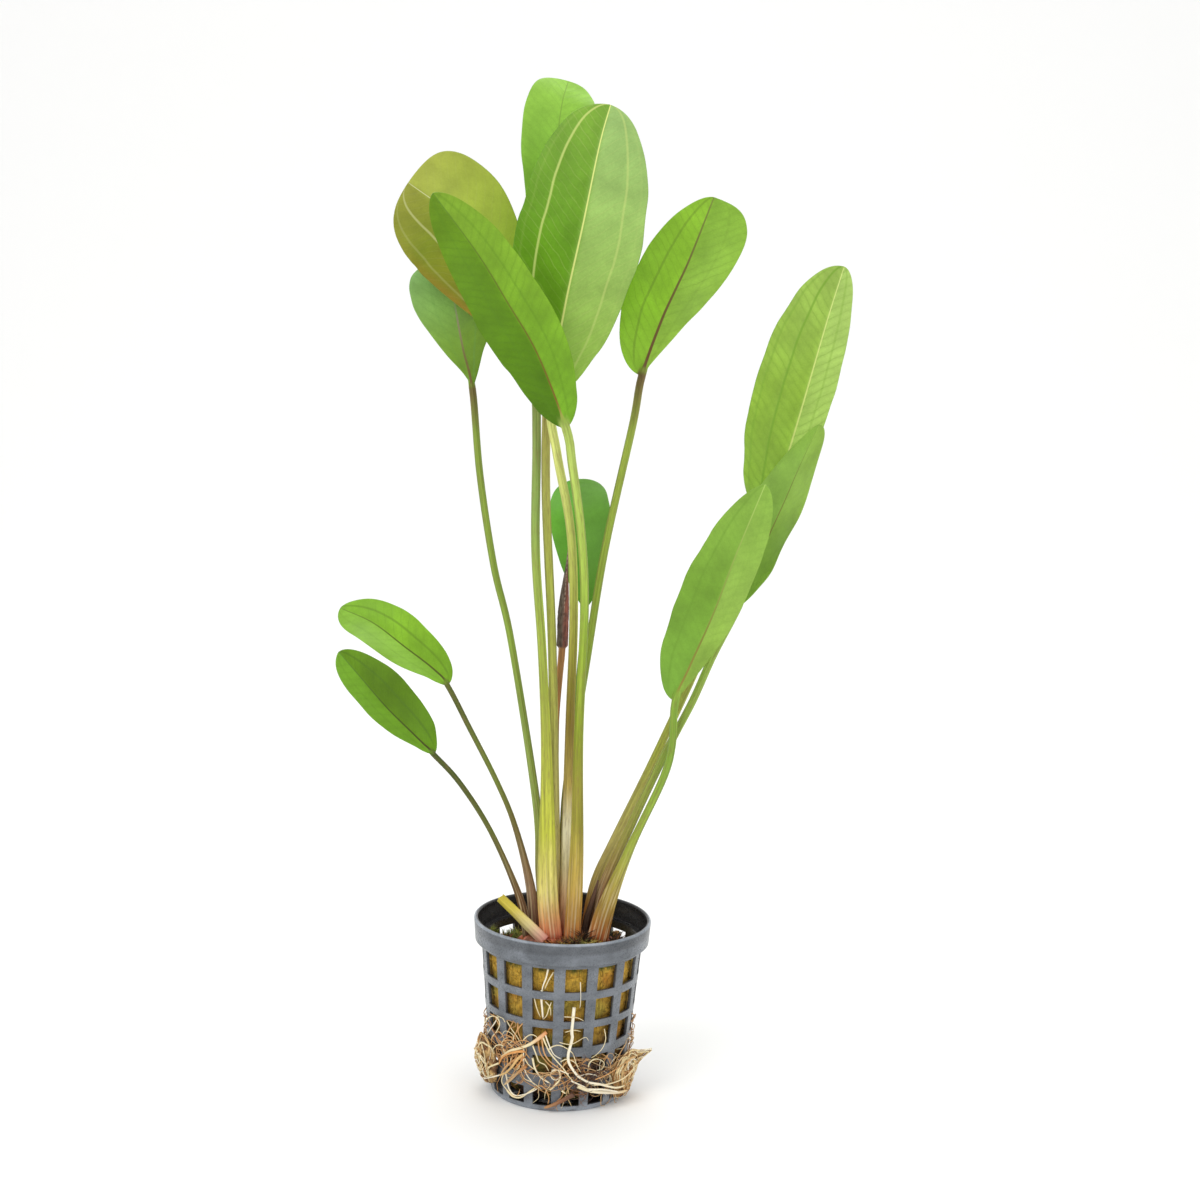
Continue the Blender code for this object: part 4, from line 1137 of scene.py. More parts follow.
@dataclass
class DeadLeaf:
    """The dead leaf: a thin stalk, and a blade rolled up and shrivelled."""

    foot: Point = (-2.6, 4.0, 49.6)
    stalk: tuple = ((-3, 4.6, 80), (-3.8, 5, 110), (-3.9, 5.2, 120), (-3.5, 5.3, 132))
    blade: tuple = ((-3.1, 5.4, 140), (-3.1, 5.4, 150), (-2.7, 5.3, 161), (-2.2, 5.6, 171.3))
    stalk_radius: float = 0.75
    neck_radius: float = 1.1
    neck: float = 0.2
    roll_radius: float = 1.8
    fold_height: float = 0.12
    folds: float = 3.5
    wrinkle_height: float = 0.09
    stalk_rings: int = 45
    blade_rings: int = 90
    sides: int = 48
    stalk_tints: Stops = ((50, "#7a5238"), (78, "#a8724a"), (108, "#a0693c"), (132, "#a8783f"), (140, "#9c6c3a"))
    # Grey skin, red skin, and the dark of the painted shade in the wrinkles
    skin_and_shade_tints: tuple[str, str, str] = ("#685a4e", "#8a4a38", "#42281e")
    # Colour of the painted highlight along the roll
    edge_tint: str = "#cdb8a0"

    @cached_property
    def route(self) -> Route:
        """Gives the leaf's line."""
        return Route((self.foot, *self.stalk, *self.blade))

    @cached_property
    def blade_start(self) -> float:
        """Gives where the blade starts, as a share of the line."""
        return self.route.distance_to(len(self.stalk) + 1) / self.route.length

    def build(self) -> Piece:
        """Makes the dead leaf.

        Returns:
            Its object.
        """
        start = self.blade_start
        shares = [start * step / self.stalk_rings for step in range(self.stalk_rings)]
        shares += [start + (1 - start) * (step / self.blade_rings) ** 1.25 for step in range(self.blade_rings + 1)]
        draft = Draft()
        draft.loft(shares, self.sides, self.corner)
        return draft.to_object("rolled_dead_leaf", DRY_TISSUE, "dead_leaf", ["dead_leaf"])

    def corner(self, share: float, turn: float) -> tuple[Vector, dict]:
        """Gives a point of the leaf and what it holds.

        Args:
            share: How far along the leaf it lies.
            turn: Where it lies round the leaf, in radians.

        Returns:
            The point, and its grain and tint.
        """
        start, along = self.blade_start, self.route.length * share
        rolled = (share - start) / (1 - start)
        opened = eased(rolled / 0.04)
        stem = self.stalk_radius + (self.neck_radius - self.stalk_radius) * eased(1 - (start - share) / self.neck)
        radius = (stem + (self.roll_radius - stem) * opened) * (1 - 0.9 * eased((rolled - 0.3) / 0.7))
        # The rolled blade shows sharp lengthwise folds and wrinkles
        folds = self.fold_height * abs(math.sin(self.folds * turn + 1.6 * rolled))
        crumple = noise.fractal(Vector((2 * math.cos(turn), 2 * math.sin(turn), along * 0.5)), 0.8, 2.0, 3)
        sunk = 0.02 + 0.1 * opened
        size = radius * min(1.0, 1 - sunk + folds * opened + self.wrinkle_height * crumple * opened)
        centre = self.route.at(along)
        point = centre + self.route.spoke(along, turn) * size
        grain = (size * math.cos(turn), size * math.sin(turn), along)
        return point, {"grain": grain, "tint": self.tint(point, centre, rolled, opened, crumple)}

    def tint(self, point: Vector, centre: Vector, rolled: float, opened: float, crumple: float) -> Colour:
        """Gives the colour of a point: grey-brown on the left, red-brown on the right, a painted highlight between, and
        painted shade in the wrinkles' hollows.

        Args:
            point: Where it lies.
            centre: The middle of the roll there.
            rolled: How far up the rolled blade it lies.
            opened: 0 on the stalk, 1 on the blade.
            crumple: How far the skin stands out there.

        Returns:
            The linear colour.
        """
        grey, red, dark = (linear(colour) for colour in self.skin_and_shade_tints)
        across = (point.x - centre.x) / self.roll_radius
        skin = mixed(grey, red, eased(0.5 + 1.6 * (across - 0.1)))
        # Painted shade darkens the hollows of the wrinkles; the blade is darker near its foot as well
        skin = mixed(skin, dark, eased(0.35 - 1.4 * crumple) * 0.7 + 0.3 * eased(1 - rolled * 9))
        # A painted highlight: a pale line up the roll, broken into flecks
        painted_highlight = max(0.0, 1 - abs(across - 0.25 + 0.3 * rolled) / 0.12) * eased((rolled - 0.25) / 0.2)
        flecked = eased(0.5 + 3 * noise.noise(Vector((4, point.z * 1.4, 0))))
        skin = mixed(skin, linear(self.edge_tint), 0.7 * painted_highlight * flecked)
        return mixed(shade_at(self.stalk_tints, point.z), skin, opened)


@dataclass
class Stump:
    """A short stalk with lengthwise ridges: the cut one, or the dry sheath."""

    name: str
    node: str
    slot: str
    finish: TintedTissue
    points: tuple
    radii: tuple
    tints: Stops
    ridge: float = 0.09
    ridges: int = 9
    frayed: float = 0.0
    sides: int = 36
    count: int = 48

    @cached_property
    def route(self) -> Route:
        """Gives the stump's line."""
        return Route(self.points)

    def build(self) -> Piece:
        """Makes the stump.

        Returns:
            Its object.
        """
        draft = Draft()
        draft.loft([step / (self.count - 1) for step in range(self.count)], self.sides, self.corner)
        return draft.to_object(self.name, self.finish, self.slot, [self.node])

    def corner(self, share: float, turn: float) -> tuple[Vector, dict]:
        """Gives a point of the stump and what it holds.

        Args:
            share: How far along the stump it lies.
            turn: Where it lies round the stump, in radians.

        Returns:
            The point, and its grain and tint.
        """
        route, along = self.route, self.route.length * share
        size = between(self.radii, share) * (1 - self.ridge + self.ridge * abs(math.cos(self.ridges * turn / 2)))
        fray = self.frayed * eased((share - 0.9) / 0.1) * math.sin(7 * turn) * math.sin(3 * turn)
        point = route.at(along) + route.spoke(along, turn) * size + route.heading(along) * fray
        grain = (size * math.cos(turn), size * math.sin(turn), along)
        return point, {"grain": grain, "tint": shade_at(self.tints, share)}


# The cut stalk and the dry sheath
STUMPS: tuple[Stump, ...] = (
    Stump(
        "cut_petiole", "cut_stalk", "cut_stalk", CUT_FLESH,
        ((-5.4, -7, 50.3), (-9.6, -6, 54), (-14.6, -3.6, 58), (-19.4, -1, 61.6)), (1.9, 1.8, 1.6, 1.5),
        ((0, "#d98f80"), (0.16, "#e6b89a"), (0.34, "#e2d090"), (0.7, "#d2c04a"), (1, "#c2b02e")), frayed=0.35,
    ),
    Stump(
        "dry_brown_sheath", "dry_sheath", "dead_leaf", DRY_TISSUE,
        ((6.9, -1.8, 50.3), (7.6, -2, 56.5), (9.2, -2.4, 63), (10.6, -2.8, 69)), (1.1, 1.1, 0.8, 0.25),
        ((0, "#32221a"), (0.5, "#46301f"), (1, "#6a4a34")), ridge=0.2,
    ),
)


@dataclass
class Crown:
    """The short rootstock that every stalk stands on."""

    centre: Point = (1.0, 0.2)
    half_width: float = 15.2
    half_depth: float = 7.0
    foot: float = 46.5
    top: float = 50.2
    sides: int = 96
    # How high each ring stands and how wide it is, as shares of the whole
    section: tuple = (
        *((0.0, 0.86), (0.2, 0.97), (0.4, 1.0), (0.65, 0.98), (0.85, 0.92), (0.97, 0.84)),
        *((1.0, 0.7), (1.0, 0.5), (1.0, 0.3), (1.0, 0.12)),
    )
    inside_solid: float = 0.97
    knob_height: float = 0.09
    roughness: float = 0.5
    flesh: tuple[str, str] = ("#b8643c", "#dc8a74")
    scar: str = "#6a4426"
    soiled: str = "#5a3c22"

    def build(self) -> Piece:
        """Makes the crown.

        Returns:
            Its object.
        """
        draft = Draft()
        draft.loft(self.section, self.sides, self.corner)
        return draft.to_object("pink_crown", CROWN_FLESH, "crown_flesh", ["crown"])

    def corner(self, station: tuple[float, float], turn: float) -> tuple[Vector, dict]:
        """Gives a point of the crown and what it holds.

        Args:
            station: The ring's height and width as shares.
            turn: Where it lies round the ring, in radians.

        Returns:
            The point, and its grain and tint.
        """
        share, spread = station
        knob = noise.noise(Vector((2.6 * math.cos(turn), 2.6 * math.sin(turn), 3 * share))) * self.knob_height
        reach = spread * (1 + 0.05 * math.sin(3 * turn + 2 * share) + knob) * self.inside_solid
        x = self.centre[0] + self.half_width * reach * math.cos(turn)
        y = self.centre[1] + self.half_depth * reach * math.sin(turn)
        rough = noise.noise(Vector((x * 0.5, y * 0.5, 4.0)))
        z = self.foot + (self.top - self.foot) * share + self.roughness * rough * share
        low, high = (linear(colour) for colour in self.flesh)
        tint = mixed(low, high, eased(0.5 + 1.4 * noise.noise(Vector((x * 0.22, y * 0.3, 9.0)))))
        tint = mixed(tint, linear(self.scar), 0.8 * eased(0.5 + 3 * noise.noise(Vector((x, y, 2)) * 0.6)))
        tint = mixed(tint, linear(self.soiled), 0.6 * eased(0.4 - share))
        return Vector((x, y, z)), {"grain": (x, y, z), "tint": tint}


@dataclass
class RockwoolPlug:
    """The plug: an uneven core with a coat of spun fibres."""

    pot: NetPotForm = POT
    top: float = 46.2
    clearance: float = 0.75
    drawn_in_below: float = 20.0
    foot: float = 1.5
    foot_radius: float = 15.0
    top_slope: float = 0.1
    level_to: float = 6.0
    sides: int = 180
    fibres: int = 2300
    seed: int = 11
    dent: float = 0.5
    rough_top: float = 0.3
    first_row: float = 1.6
    row_step: float = 0.6
    rows: int = 73
    tints: Stops = ((2, "#2c1d14"), (12, "#4a3220"), (19, "#7a5a24"), (24, "#9c7a2c"), (32, "#b08a30"), (46, "#c29c38"))
    algae: str = "#8a8636"
    orange: str = "#b9772a"
    mossy: str = "#4f5a1c"
    fibre_heights: tuple[float, float] = (3, 45)
    fibre_lengths: tuple[float, float] = (1.6, 4.6)
    fibre_radii: tuple[float, float] = (0.06, 0.13)
    fibre_gains: tuple[float, float] = (0.75, 1.6)

    def radius(self, height: float) -> float:
        """Gives the core's radius at a height.

        Args:
            height: Where to read it.

        Returns:
            The radius, drawn in below the lowest rows of slots.
        """
        if height >= self.drawn_in_below:
            return self.pot.radius(height) - self.pot.wall - self.clearance
        share = (height - self.foot) / (self.drawn_in_below - self.foot)
        full = self.pot.radius(self.drawn_in_below) - self.pot.wall - self.clearance
        return self.foot_radius + (full - self.foot_radius) * math.sin(math.pi / 2 * max(share, 0.0))

    def surface(self, bearing: float, height: float) -> Vector:
        """Gives the point of the core's side, dented by noise."""
        turn = math.radians(bearing)
        dent = noise.fractal(Vector((7 * math.cos(turn), 7 * math.sin(turn), height * 0.33)), 0.6, 2.1, 4)
        return self.pot.around(self.radius(height) - 0.35 + self.dent * dent, bearing, height)

    def tint(self, point: Vector, height: float) -> Colour:
        """Gives the wool's colour, from dark brown at the bottom to yellow-brown above."""
        ground = shade_at(self.tints, height + 4 * noise.fractal(point * 0.2, 0.8, 2.0, 3))
        ground = mixed(ground, linear(self.algae), 0.55 * eased(2.2 * noise.noise(point * 0.13 + Vector((5, 1, 2)))))
        warm = eased(2.4 * noise.noise(point * 0.17 + Vector((1, 8, 4))) - 0.3)
        return mixed(ground, linear(self.orange), 0.5 * warm)

    def side_corner(self, height: float, turn: float) -> tuple[Vector, dict]:
        """Gives a point of the core's side and what it holds."""
        point = self.surface(math.degrees(turn), height)
        return point, {"grain": tuple(point), "tint": self.tint(point, height)}

    def top_corner(self, share: float, turn: float) -> tuple[Vector, dict]:
        """Gives a point of the core's top and what it holds.

        Args:
            share: How far out it lies, as a share of the core's radius.
            turn: Where it lies round the middle, in radians.

        Returns:
            The point, and its grain and tint.
        """
        flat = self.pot.around(share * self.radius(45), math.degrees(turn), 0)
        rough = noise.fractal(flat * 0.55, 0.7, 2.0, 3)
        level = self.top - self.top_slope * max(0.0, flat.y - self.level_to)
        point = Vector((flat.x, flat.y, level - 0.25 + self.rough_top * rough))
        mossy = mixed(self.tint(point, 34), linear(self.mossy), eased(0.5 + 1.6 * rough))
        return point, {"grain": tuple(point), "tint": mossy}

    def build(self) -> Piece:
        """Makes the core and its fibres as one piece.

        Returns:
            The plug's object.
        """
        stations = [(self.side_corner, self.first_row + self.row_step * row) for row in range(self.rows)]
        stations += [(self.top_corner, share) for share in (0.97, *(step / 10 for step in range(9, 0, -1)), 0.03)]
        draft = Draft()
        draft.loft(stations, self.sides, lambda station, turn: station[0](station[1], turn))
        self.add_fibres(draft)
        return draft.to_object("fibrous_rockwool", MINERAL_WOOL, "rockwool", ["rockwool_plug"])

    def add_fibres(self, draft: Draft) -> None:
        """Lays short bent fibres on the plug's side, in many directions.

        Args:
            draft: The plug's mesh.
        """
        draw = random.Random(self.seed)
        for _ in range(self.fibres):
            bearing, height = draw.uniform(0, 360), draw.uniform(*self.fibre_heights)
            lean = draw.gauss(0, 0.9)
            reach, radius, bright = (
                draw.uniform(*span) for span in (self.fibre_lengths, self.fibre_radii, self.fibre_gains)
            )
            points = []
            for step in range(4):
                go = reach * (step / 3 - 0.5)
                turn = bearing + math.degrees(go * math.cos(lean) / 22)
                up = min(max(height + go * math.sin(lean) + draw.uniform(-0.3, 0.3), 2.4), 45.4)
                out = draw.uniform(0.0, 0.32) - (0.25 if step in (0, 3) else 0.0)
                spot = self.surface(turn, up)
                points.append(spot + Vector((spot.x, spot.y, 0)).normalized() * out)
            tint = tuple(min(1.0, part * bright) for part in self.tint(points[1], height)[:3])
            draft.tube(Route(points), lambda share: radius, 6, 3, lambda share: {"tint": (*tint, 1.0)})


@dataclass
class MossTuft:
    """Moss on the plug: short leaning shoots, and crumbs of peat between them."""

    seed: int = 5
    shoots: int = 1900
    foot: float = 45.8
    feet_within: float = 23.2
    tips_within: float = 23.6
    scatter: float = 0.42
    crumb_share: float = 0.7
    thickness: tuple[float, float] = (0.12, 0.24)
    crumb_thickness: tuple[float, float] = (0.25, 0.5)
    sunlit: Colour = (0.36, 0.4, 0.1, 1.0)
    # Centre, half widths, height and main stuff of each patch
    patches: tuple = (
        ((-15.5, 8.5), (4.6, 3.4), 2.6, "moss"), ((-12.0, 4.6), (3.4, 2.8), 3.2, "moss"),
        ((-18.5, 1.6), (2.6, 3.0), 3.0, "peat"), ((-22.2, 6.6), (1.0, 1.4), 3.8, "moss"),
        ((-6.5, 10.5), (3.6, 3.0), 2.0, "moss"), ((17.5, 2.5), (2.6, 4.0), 3.6, "peat"),
        ((15.0, 3.6), (2.4, 2.4), 4.8, "dark"), ((6.6, -4.4), (1.2, 1.2), 8.5, "peat"),
        ((16.4, -2.2), (1.4, 1.8), 5.4, "peat"), ((5.5, 9.5), (6.0, 3.0), 2.0, "moss"),
        ((-2.6, -7.6), (2.0, 1.0), 5.2, "rust"), ((1.2, -7.8), (1.6, 0.9), 5.4, "straw"),
        ((3.6, -8.2), (2.0, 0.9), 6.0, "peat"), ((7.4, -7.6), (3.2, 1.2), 5.8, "moss"),
        ((9.4, -7.2), (2.6, 1.4), 5.4, "straw"), ((13.0, -6.0), (2.4, 1.6), 4.2, "peat"),
        ((-9.5, -9.0), (4.0, 3.0), 1.8, "peat"),
    )
    stuffs: tuple = (
        ("moss", ("#5f6e22", "#8a9434", "#4a5a1c", "#a0a040", "#6a5a24")),
        ("peat", ("#2e1f14", "#4a3220", "#6a4426", "#3a2a1a", "#8a5a2c")),
        ("dark", ("#1e2414", "#2c2a16", "#3c3420", "#5a5a24")),
        ("rust", ("#a8602c", "#8a4a26", "#c07a3c", "#5a3420")),
        ("straw", ("#c8a850", "#a88438", "#8c7a30", "#d8c070", "#6a4426")),
    )

    def build(self) -> Piece:
        """Makes the moss.

        Returns:
            Its object.
        """
        draft, draw = Draft(), random.Random(self.seed)
        for _ in range(self.shoots):
            centre, spread, tall, stuff = draw.choice(self.patches)
            x, y = (place + draw.gauss(0, self.scatter) * wide for place, wide in zip(centre, spread))
            foot = self.held_in(Vector((x, y, self.foot)), self.feet_within)
            peaty = stuff != "moss" and draw.random() < self.crumb_share
            colour = linear(draw.choice(dict(self.stuffs)[stuff]))
            tip_colour = mixed(colour, self.sunlit, 0.4) if stuff == "moss" else colour
            height = draw.uniform(0.3, 1.0) * tall + 0.6
            lean = Vector((draw.uniform(-1, 1), draw.uniform(-1, 1), 0)) * height * 0.6
            middle = foot + Vector((0, 0, height * 0.7)) + lean * 0.3
            tip = self.held_in(foot + Vector((0, 0, height)) + lean, self.tips_within)
            thick = draw.uniform(*(self.crumb_thickness if peaty else self.thickness))
            draft.tube(
                Route((foot, middle, tip)),
                lambda share: thick * (1.05 - share) * (1.6 if 0.3 < share < 0.8 else 1.0),
                6,
                5,
                lambda share: {"tint": mixed(colour, tip_colour, share)},
            )
        return draft.to_object("moss_and_peat", MOSS_SHOOT, "moss", ["moss_tuft"])

    def held_in(self, spot: Vector, radius: float) -> Vector:
        """Gives the point, moved in to the radius if it lies past it."""
        share = min(1.0, radius / math.hypot(spot.x, spot.y))
        return Vector((spot.x * share, spot.y * share, spot.z))


@dataclass
class GravelBit:
    """The yellow grain of gravel at the right of the mouth."""

    centre: Point = (16.8, 4.6, 48.9)
    half_sizes: Point = (1.35, 1.2, 1.9)
    inside_solid: float = 0.92
    facets: float = 0.22
    roughness: float = 0.16
    rows: int = 18
    sides: int = 26
    tints: tuple[str, str] = ("#b98a45", "#8a6230")

    def build(self) -> Piece:
        """Makes the grain.

        Returns:
            Its object.
        """
        draft = Draft()
        draft.loft([math.pi * row / self.rows for row in range(1, self.rows)], self.sides, self.corner)
        return draft.to_object("gravel_grain", QUARTZ, "gravel", ["gravel_bit"])

    def corner(self, polar: float, turn: float) -> tuple[Vector, dict]:
        """Gives a point of the grain and what it holds.

        Args:
            polar: How far it lies from the grain's lowest point, as an angle.
            turn: Where it lies round the grain, in radians.

        Returns:
            The point, and its grain and tint.
        """
        way = Vector((math.sin(polar) * math.cos(turn), math.sin(polar) * math.sin(turn), -math.cos(polar)))
        size = 1 + self.facets * noise.cell(way * 1.7 + Vector((3, 3, 3))) + self.roughness * noise.noise(way * 2.4)
        size *= self.inside_solid
        point = Vector(c + s * w * size for c, s, w in zip(self.centre, self.half_sizes, way))
        pale, deep = (linear(colour) for colour in self.tints)
        return point, {"grain": tuple(point), "tint": mixed(pale, deep, eased(0.5 + noise.noise(way * 3)))}


CREAM = "#ecdcb0"
PALE = "#f4ead0"
TAN = "#c9965c"


@dataclass(frozen=True)
class RootForm:
    """A root on the outside of the pot: bearing, height and distance out from the wall of each point."""

    name: str
    radius: float
    points: tuple
    tints: tuple = (TAN, CREAM)
    slot: str = "root_cream"


# The roots that stand for solids
MAIN_ROOTS: tuple[RootForm, ...] = (
    RootForm(
        "root_left_main", 0.6,
        (
            (-8.8, 26.3, -0.3), (-13.7, 24.6, 0.9), (-19.4, 22.6, 1.1), (-25.4, 21, 1.1), (-32.8, 19.5, 1.2),
            (-38.3, 18.4, 1.4), (-47, 15.4, 1.6),
        ),
        ("#e0955a", CREAM, CREAM, "#d9b880"),
    ),
    RootForm(
        "root_centre_main", 0.52,
        (
            (11.7, 34.6, -0.8), (10.4, 27.2, 0.2), (10.7, 25.5, 1), (9.6, 22.6, 1), (8.3, 19.8, 1.05),
            (8.8, 17.3, 1.1), (11.9, 14.9, 1.2), (17, 12.3, 1.3), (25.3, 10.1, 1.4), (34, 9.1, 2.1), (46.6, 7.2, 3.6),
            (57, 6.6, 3.8),
        ),
        (PALE, PALE, PALE, CREAM),
    ),
    RootForm(
        "root_right_low", 0.66, ((17, 9, 1.0), (28, 6.9, 1.1), (42, 5.6, 2.0), (54, 4.6, 3.0), (64, 4.0, 3.4)),
        (CREAM, PALE, "#e0c088"),
    ),
    RootForm(
        "root_left_upper", 0.52, ((-26, 17.6, 0.9), (-34, 15.8, 0.95), (-43, 12.6, 1.0), (-49, 9.4, 1.2)),
        ("#b98048", "#d8b078"), slot="root_tan",
    ),
    RootForm(
        "root_left_lower", 0.52, ((-24, 14.6, 0.9), (-31, 12, 0.9), (-39, 8.6, 0.9), (-46, 6.2, 1.1)),
        ("#b07840", "#dcc090"), slot="root_tan",
    ),
    RootForm(
        "root_brown", 0.8, ((14, 6.4, 1.2), (6, 4.6, 1.2), (-2, 2.8, 1.2), (-9, 1.6, 1.2)),
        ("#5a3a28", "#8a5a38", "#b98a58"), slot="root_tan",
    ),
    RootForm(
        "root_arc_low", 0.34, ((-44, 4.6, 0.7), (-38, 3.2, 0.7), (-30, 3.6, 0.7), (-21, 6.4, 0.7), (-14, 8.6, 0.7)),
        (CREAM, CREAM),
    ),
    RootForm(
        "root_arc_middle", 0.34, ((-19, 17.6, 0.7), (-17, 14.2, 0.7), (-12, 11.4, 0.7), (-5, 9.8, 0.7)),
        (CREAM, PALE),
    ),
    RootForm(
        "root_hook", 0.34, ((-5, 7.6, 0.7), (-1, 9.2, 0.7), (3, 11.6, 0.7), (1, 14.4, 0.7), (-4, 14.2, 0.7)),
        (CREAM, CREAM),
    ),
)


# The finer roots that the front shows one by one: radius, colour, and points as in RootForm. A point without
# a distance stands out as far as the default
DRAWN_ROOTS: tuple = (
    (0.42, PALE, (-13.1, 39.8, -0.9), (-13.2, 36.6, -0.6), (-12.3, 33.5, -0.4), (-11.9, 30.6, -0.6)),
    (0.3, PALE, (-8.6, 47, -0.9), (-10, 44, -0.7), (-12, 41.5, -0.6), (-13.2, 39, -0.8)),
    (0.24, CREAM, (-4.6, 46, -0.9), (-8, 43.4, -0.8), (-11, 40.2, -0.8)),
    (0.22, CREAM, (-19.1, 37.1, -0.8), (-17, 34, -0.6), (-14, 30.9, -0.7)),
    (0.2, CREAM, (-5.7, 36.1, -0.8), (-7.4, 34.1, -0.6), (-9.2, 31.6, -0.7), (-12.1, 30.2, -0.7)),
    (0.2, CREAM, (-10.4, 36.3, -0.8), (-6.5, 34.5, -0.6), (-5.9, 31.6, -0.8)),
    (0.28, CREAM, (-11.9, 25.2, 0.2), (-8.2, 22.3), (-5.3, 20), (-0.5, 17.6), (5.4, 14.8), (9.4, 12.4), (14.4, 10.3)),
    (0.24, PALE, (-9.5, 25.7, 0.2), (-6.4, 22.8), (-2.5, 19.6), (3.2, 18.1)),
    (0.26, "#d9a468", (-12.4, 24.8, 0.2), (-10, 20.2), (-6.1, 17.5), (-0.3, 15.6), (5.4, 14)),
    (0.24, TAN, (-15, 23.5, 0.5), (-12.8, 19.6), (-8, 17), (-4.1, 15.5), (1.7, 14.3)),
    (0.24, CREAM, (-18.7, 21.8), (-15.7, 18.7), (-13.7, 16.7), (-8.9, 15.9), (-6, 13.7, 0.6)),
    (0.22, CREAM, (-26.7, 22.8), (-24.5, 24), (-20.5, 25.3), (-16.7, 25.2), (-14, 24)),
    (0.22, TAN, (-27.3, 20.3), (-23.7, 18.5), (-20.8, 17.3)),
    (
        0.2, CREAM, (-6.4, 21.1), (-3.6, 22.2), (1, 22.7), (6.5, 21.8), (11.4, 20.1), (13.6, 18), (15.3, 15.9),
        (19, 13.4),
    ),
    (
        0.22, PALE, (9.4, 13.1), (5.5, 13.8), (1.7, 14.4), (-2.1, 14.3), (-4.6, 13.1), (-3.3, 11.5), (0, 11.1),
        (2.6, 12.1),
    ),
    (0.2, CREAM, (2.8, 17.2), (7, 18.1), (12.7, 17.2), (16.9, 15.4)),
    (0.3, PALE, (11.4, 11, 1.2), (15.4, 10.1, 1.3), (23.4, 8.5, 1.5)),
    (0.4, PALE, (25.6, 7.6, 1.4), (31.6, 7.4, 1.9), (37.2, 7.2, 2.6), (48.6, 5.8, 4.2)),
    (
        0.24, CREAM, (-79.7, 21.7), (-65.5, 25.7), (-56.7, 27.5), (-50.6, 27.5), (-49, 25.7), (-53.9, 22.6),
        (-60.5, 20.1), (-63.5, 17.2),
    ),
    (0.22, PALE, (-53.5, 27.9, -0.3), (-55.9, 25.2), (-64.5, 21.8), (-74.4, 18.5)),
    (0.22, TAN, (-36.4, 28.3, -0.2), (-38.2, 25.9), (-41.7, 23.1), (-40.1, 20.7)),
    (0.2, "#d9a468", (-32.5, 28, -0.2), (-31.2, 26.2), (-35.9, 22.5), (-39.9, 19.9)),
    (0.24, TAN, (-28.1, 28.1, -0.2), (-30.8, 26.1), (-29, 23.8), (-26.4, 21.8)),
    (0.2, CREAM, (-43.5, 27.3, -0.2), (-36.1, 25.5), (-31.5, 23.6), (-26.8, 20.7)),
    (0.24, TAN, (-64.4, 16.7), (-57.9, 20.9), (-49.7, 20.3), (-41.3, 19.4), (-34.1, 19.5)),
    (0.45, "#d99a55", (-25.7, 19.4), (-31.2, 18.9, 1.5), (-40.4, 17.1, 1.6), (-46, 15.1, 1.8), (-48.6, 12.9, 2)),
    (0.5, "#d8b070", (-26.8, 18.3), (-30.8, 16.5, 1.5), (-35.5, 13.6, 1.8), (-40.9, 11.1, 2.2), (-46.8, 9.6, 2.8)),
    (0.3, "#d99a55", (-25.9, 17.7), (-29.7, 15.1, 1.2), (-34.2, 13, 1.3)),
    (0.24, PALE, (-26.1, 20), (-26.4, 15.8), (-23.9, 11.9), (-16.8, 8.6)),
    (0.2, CREAM, (-25.5, 17.1), (-22.4, 15.3), (-16.8, 13.8)),
    (
        0.26, PALE, (-43.4, 10.5, 1.2), (-43.1, 8.4), (-40.9, 5.3), (-34.6, 3.9), (-25.4, 5.1), (-17.8, 6.8),
        (-13.5, 8.3),
    ),
    (0.22, CREAM, (-45.2, 10.3, 1.3), (-49.7, 7), (-45.5, 5.2), (-37.1, 3.8), (-30.5, 4.2)),
    (0.24, TAN, (-16.8, 8), (-12.6, 8.8), (-8.4, 7.8), (-5.5, 5), (-6.2, 2.7)),
    (0.36, CREAM, (4.6, 7.6, 1), (7.6, 6.7, 1.3)),
    (0.22, CREAM, (24.8, 13.8), (25.2, 16.1), (29, 17.3), (34.6, 16.8), (39.1, 15.2), (37.2, 13.5), (31.7, 13.4)),
    (0.16, CREAM, (38.2, 26.4, -0.3), (38.1, 23.6), (36.2, 20.7), (31.1, 18.8), (26.5, 17.9)),
    (0.17, CREAM, (5.6, 26.6, -0.3), (11.6, 27.5, 0.4), (17.8, 26.7, -0.2)),
    (0.16, CREAM, (1.4, 23.7), (5.5, 23.2), (9.9, 23.2, 1.4), (14.7, 23.9), (20.7, 25.1), (23.4, 23.8)),
    (0.17, CREAM, (3.5, 31.7, -0.4), (8.4, 31.8, 0.2), (14, 31.5, 0.2), (19.1, 30.4, 0.5)),
    (0.13, PALE, (15, 43, -0.3), (15.6, 38, 0.3), (15.4, 34.6, 0.4)),
    (0.3, CREAM, (-50, 13, 1.6), (-60, 10.5, 2.6), (-70, 8, 3.4), (-80, 9, 4)),
    (0.26, PALE, (-47, 9.6, 2), (-57, 7.6, 2.6), (-68, 5.6, 3), (-78, 4.6, 2.6)),
    (0.24, CREAM, (30, 9, 1.8), (42, 8.6, 2.6), (55, 9.6, 4), (68, 12.4, 5)),
    (0.22, TAN, (31, 10.6, 1.4), (40, 11.6, 2), (52, 13.6, 3), (66, 15.6, 4.2)),
)


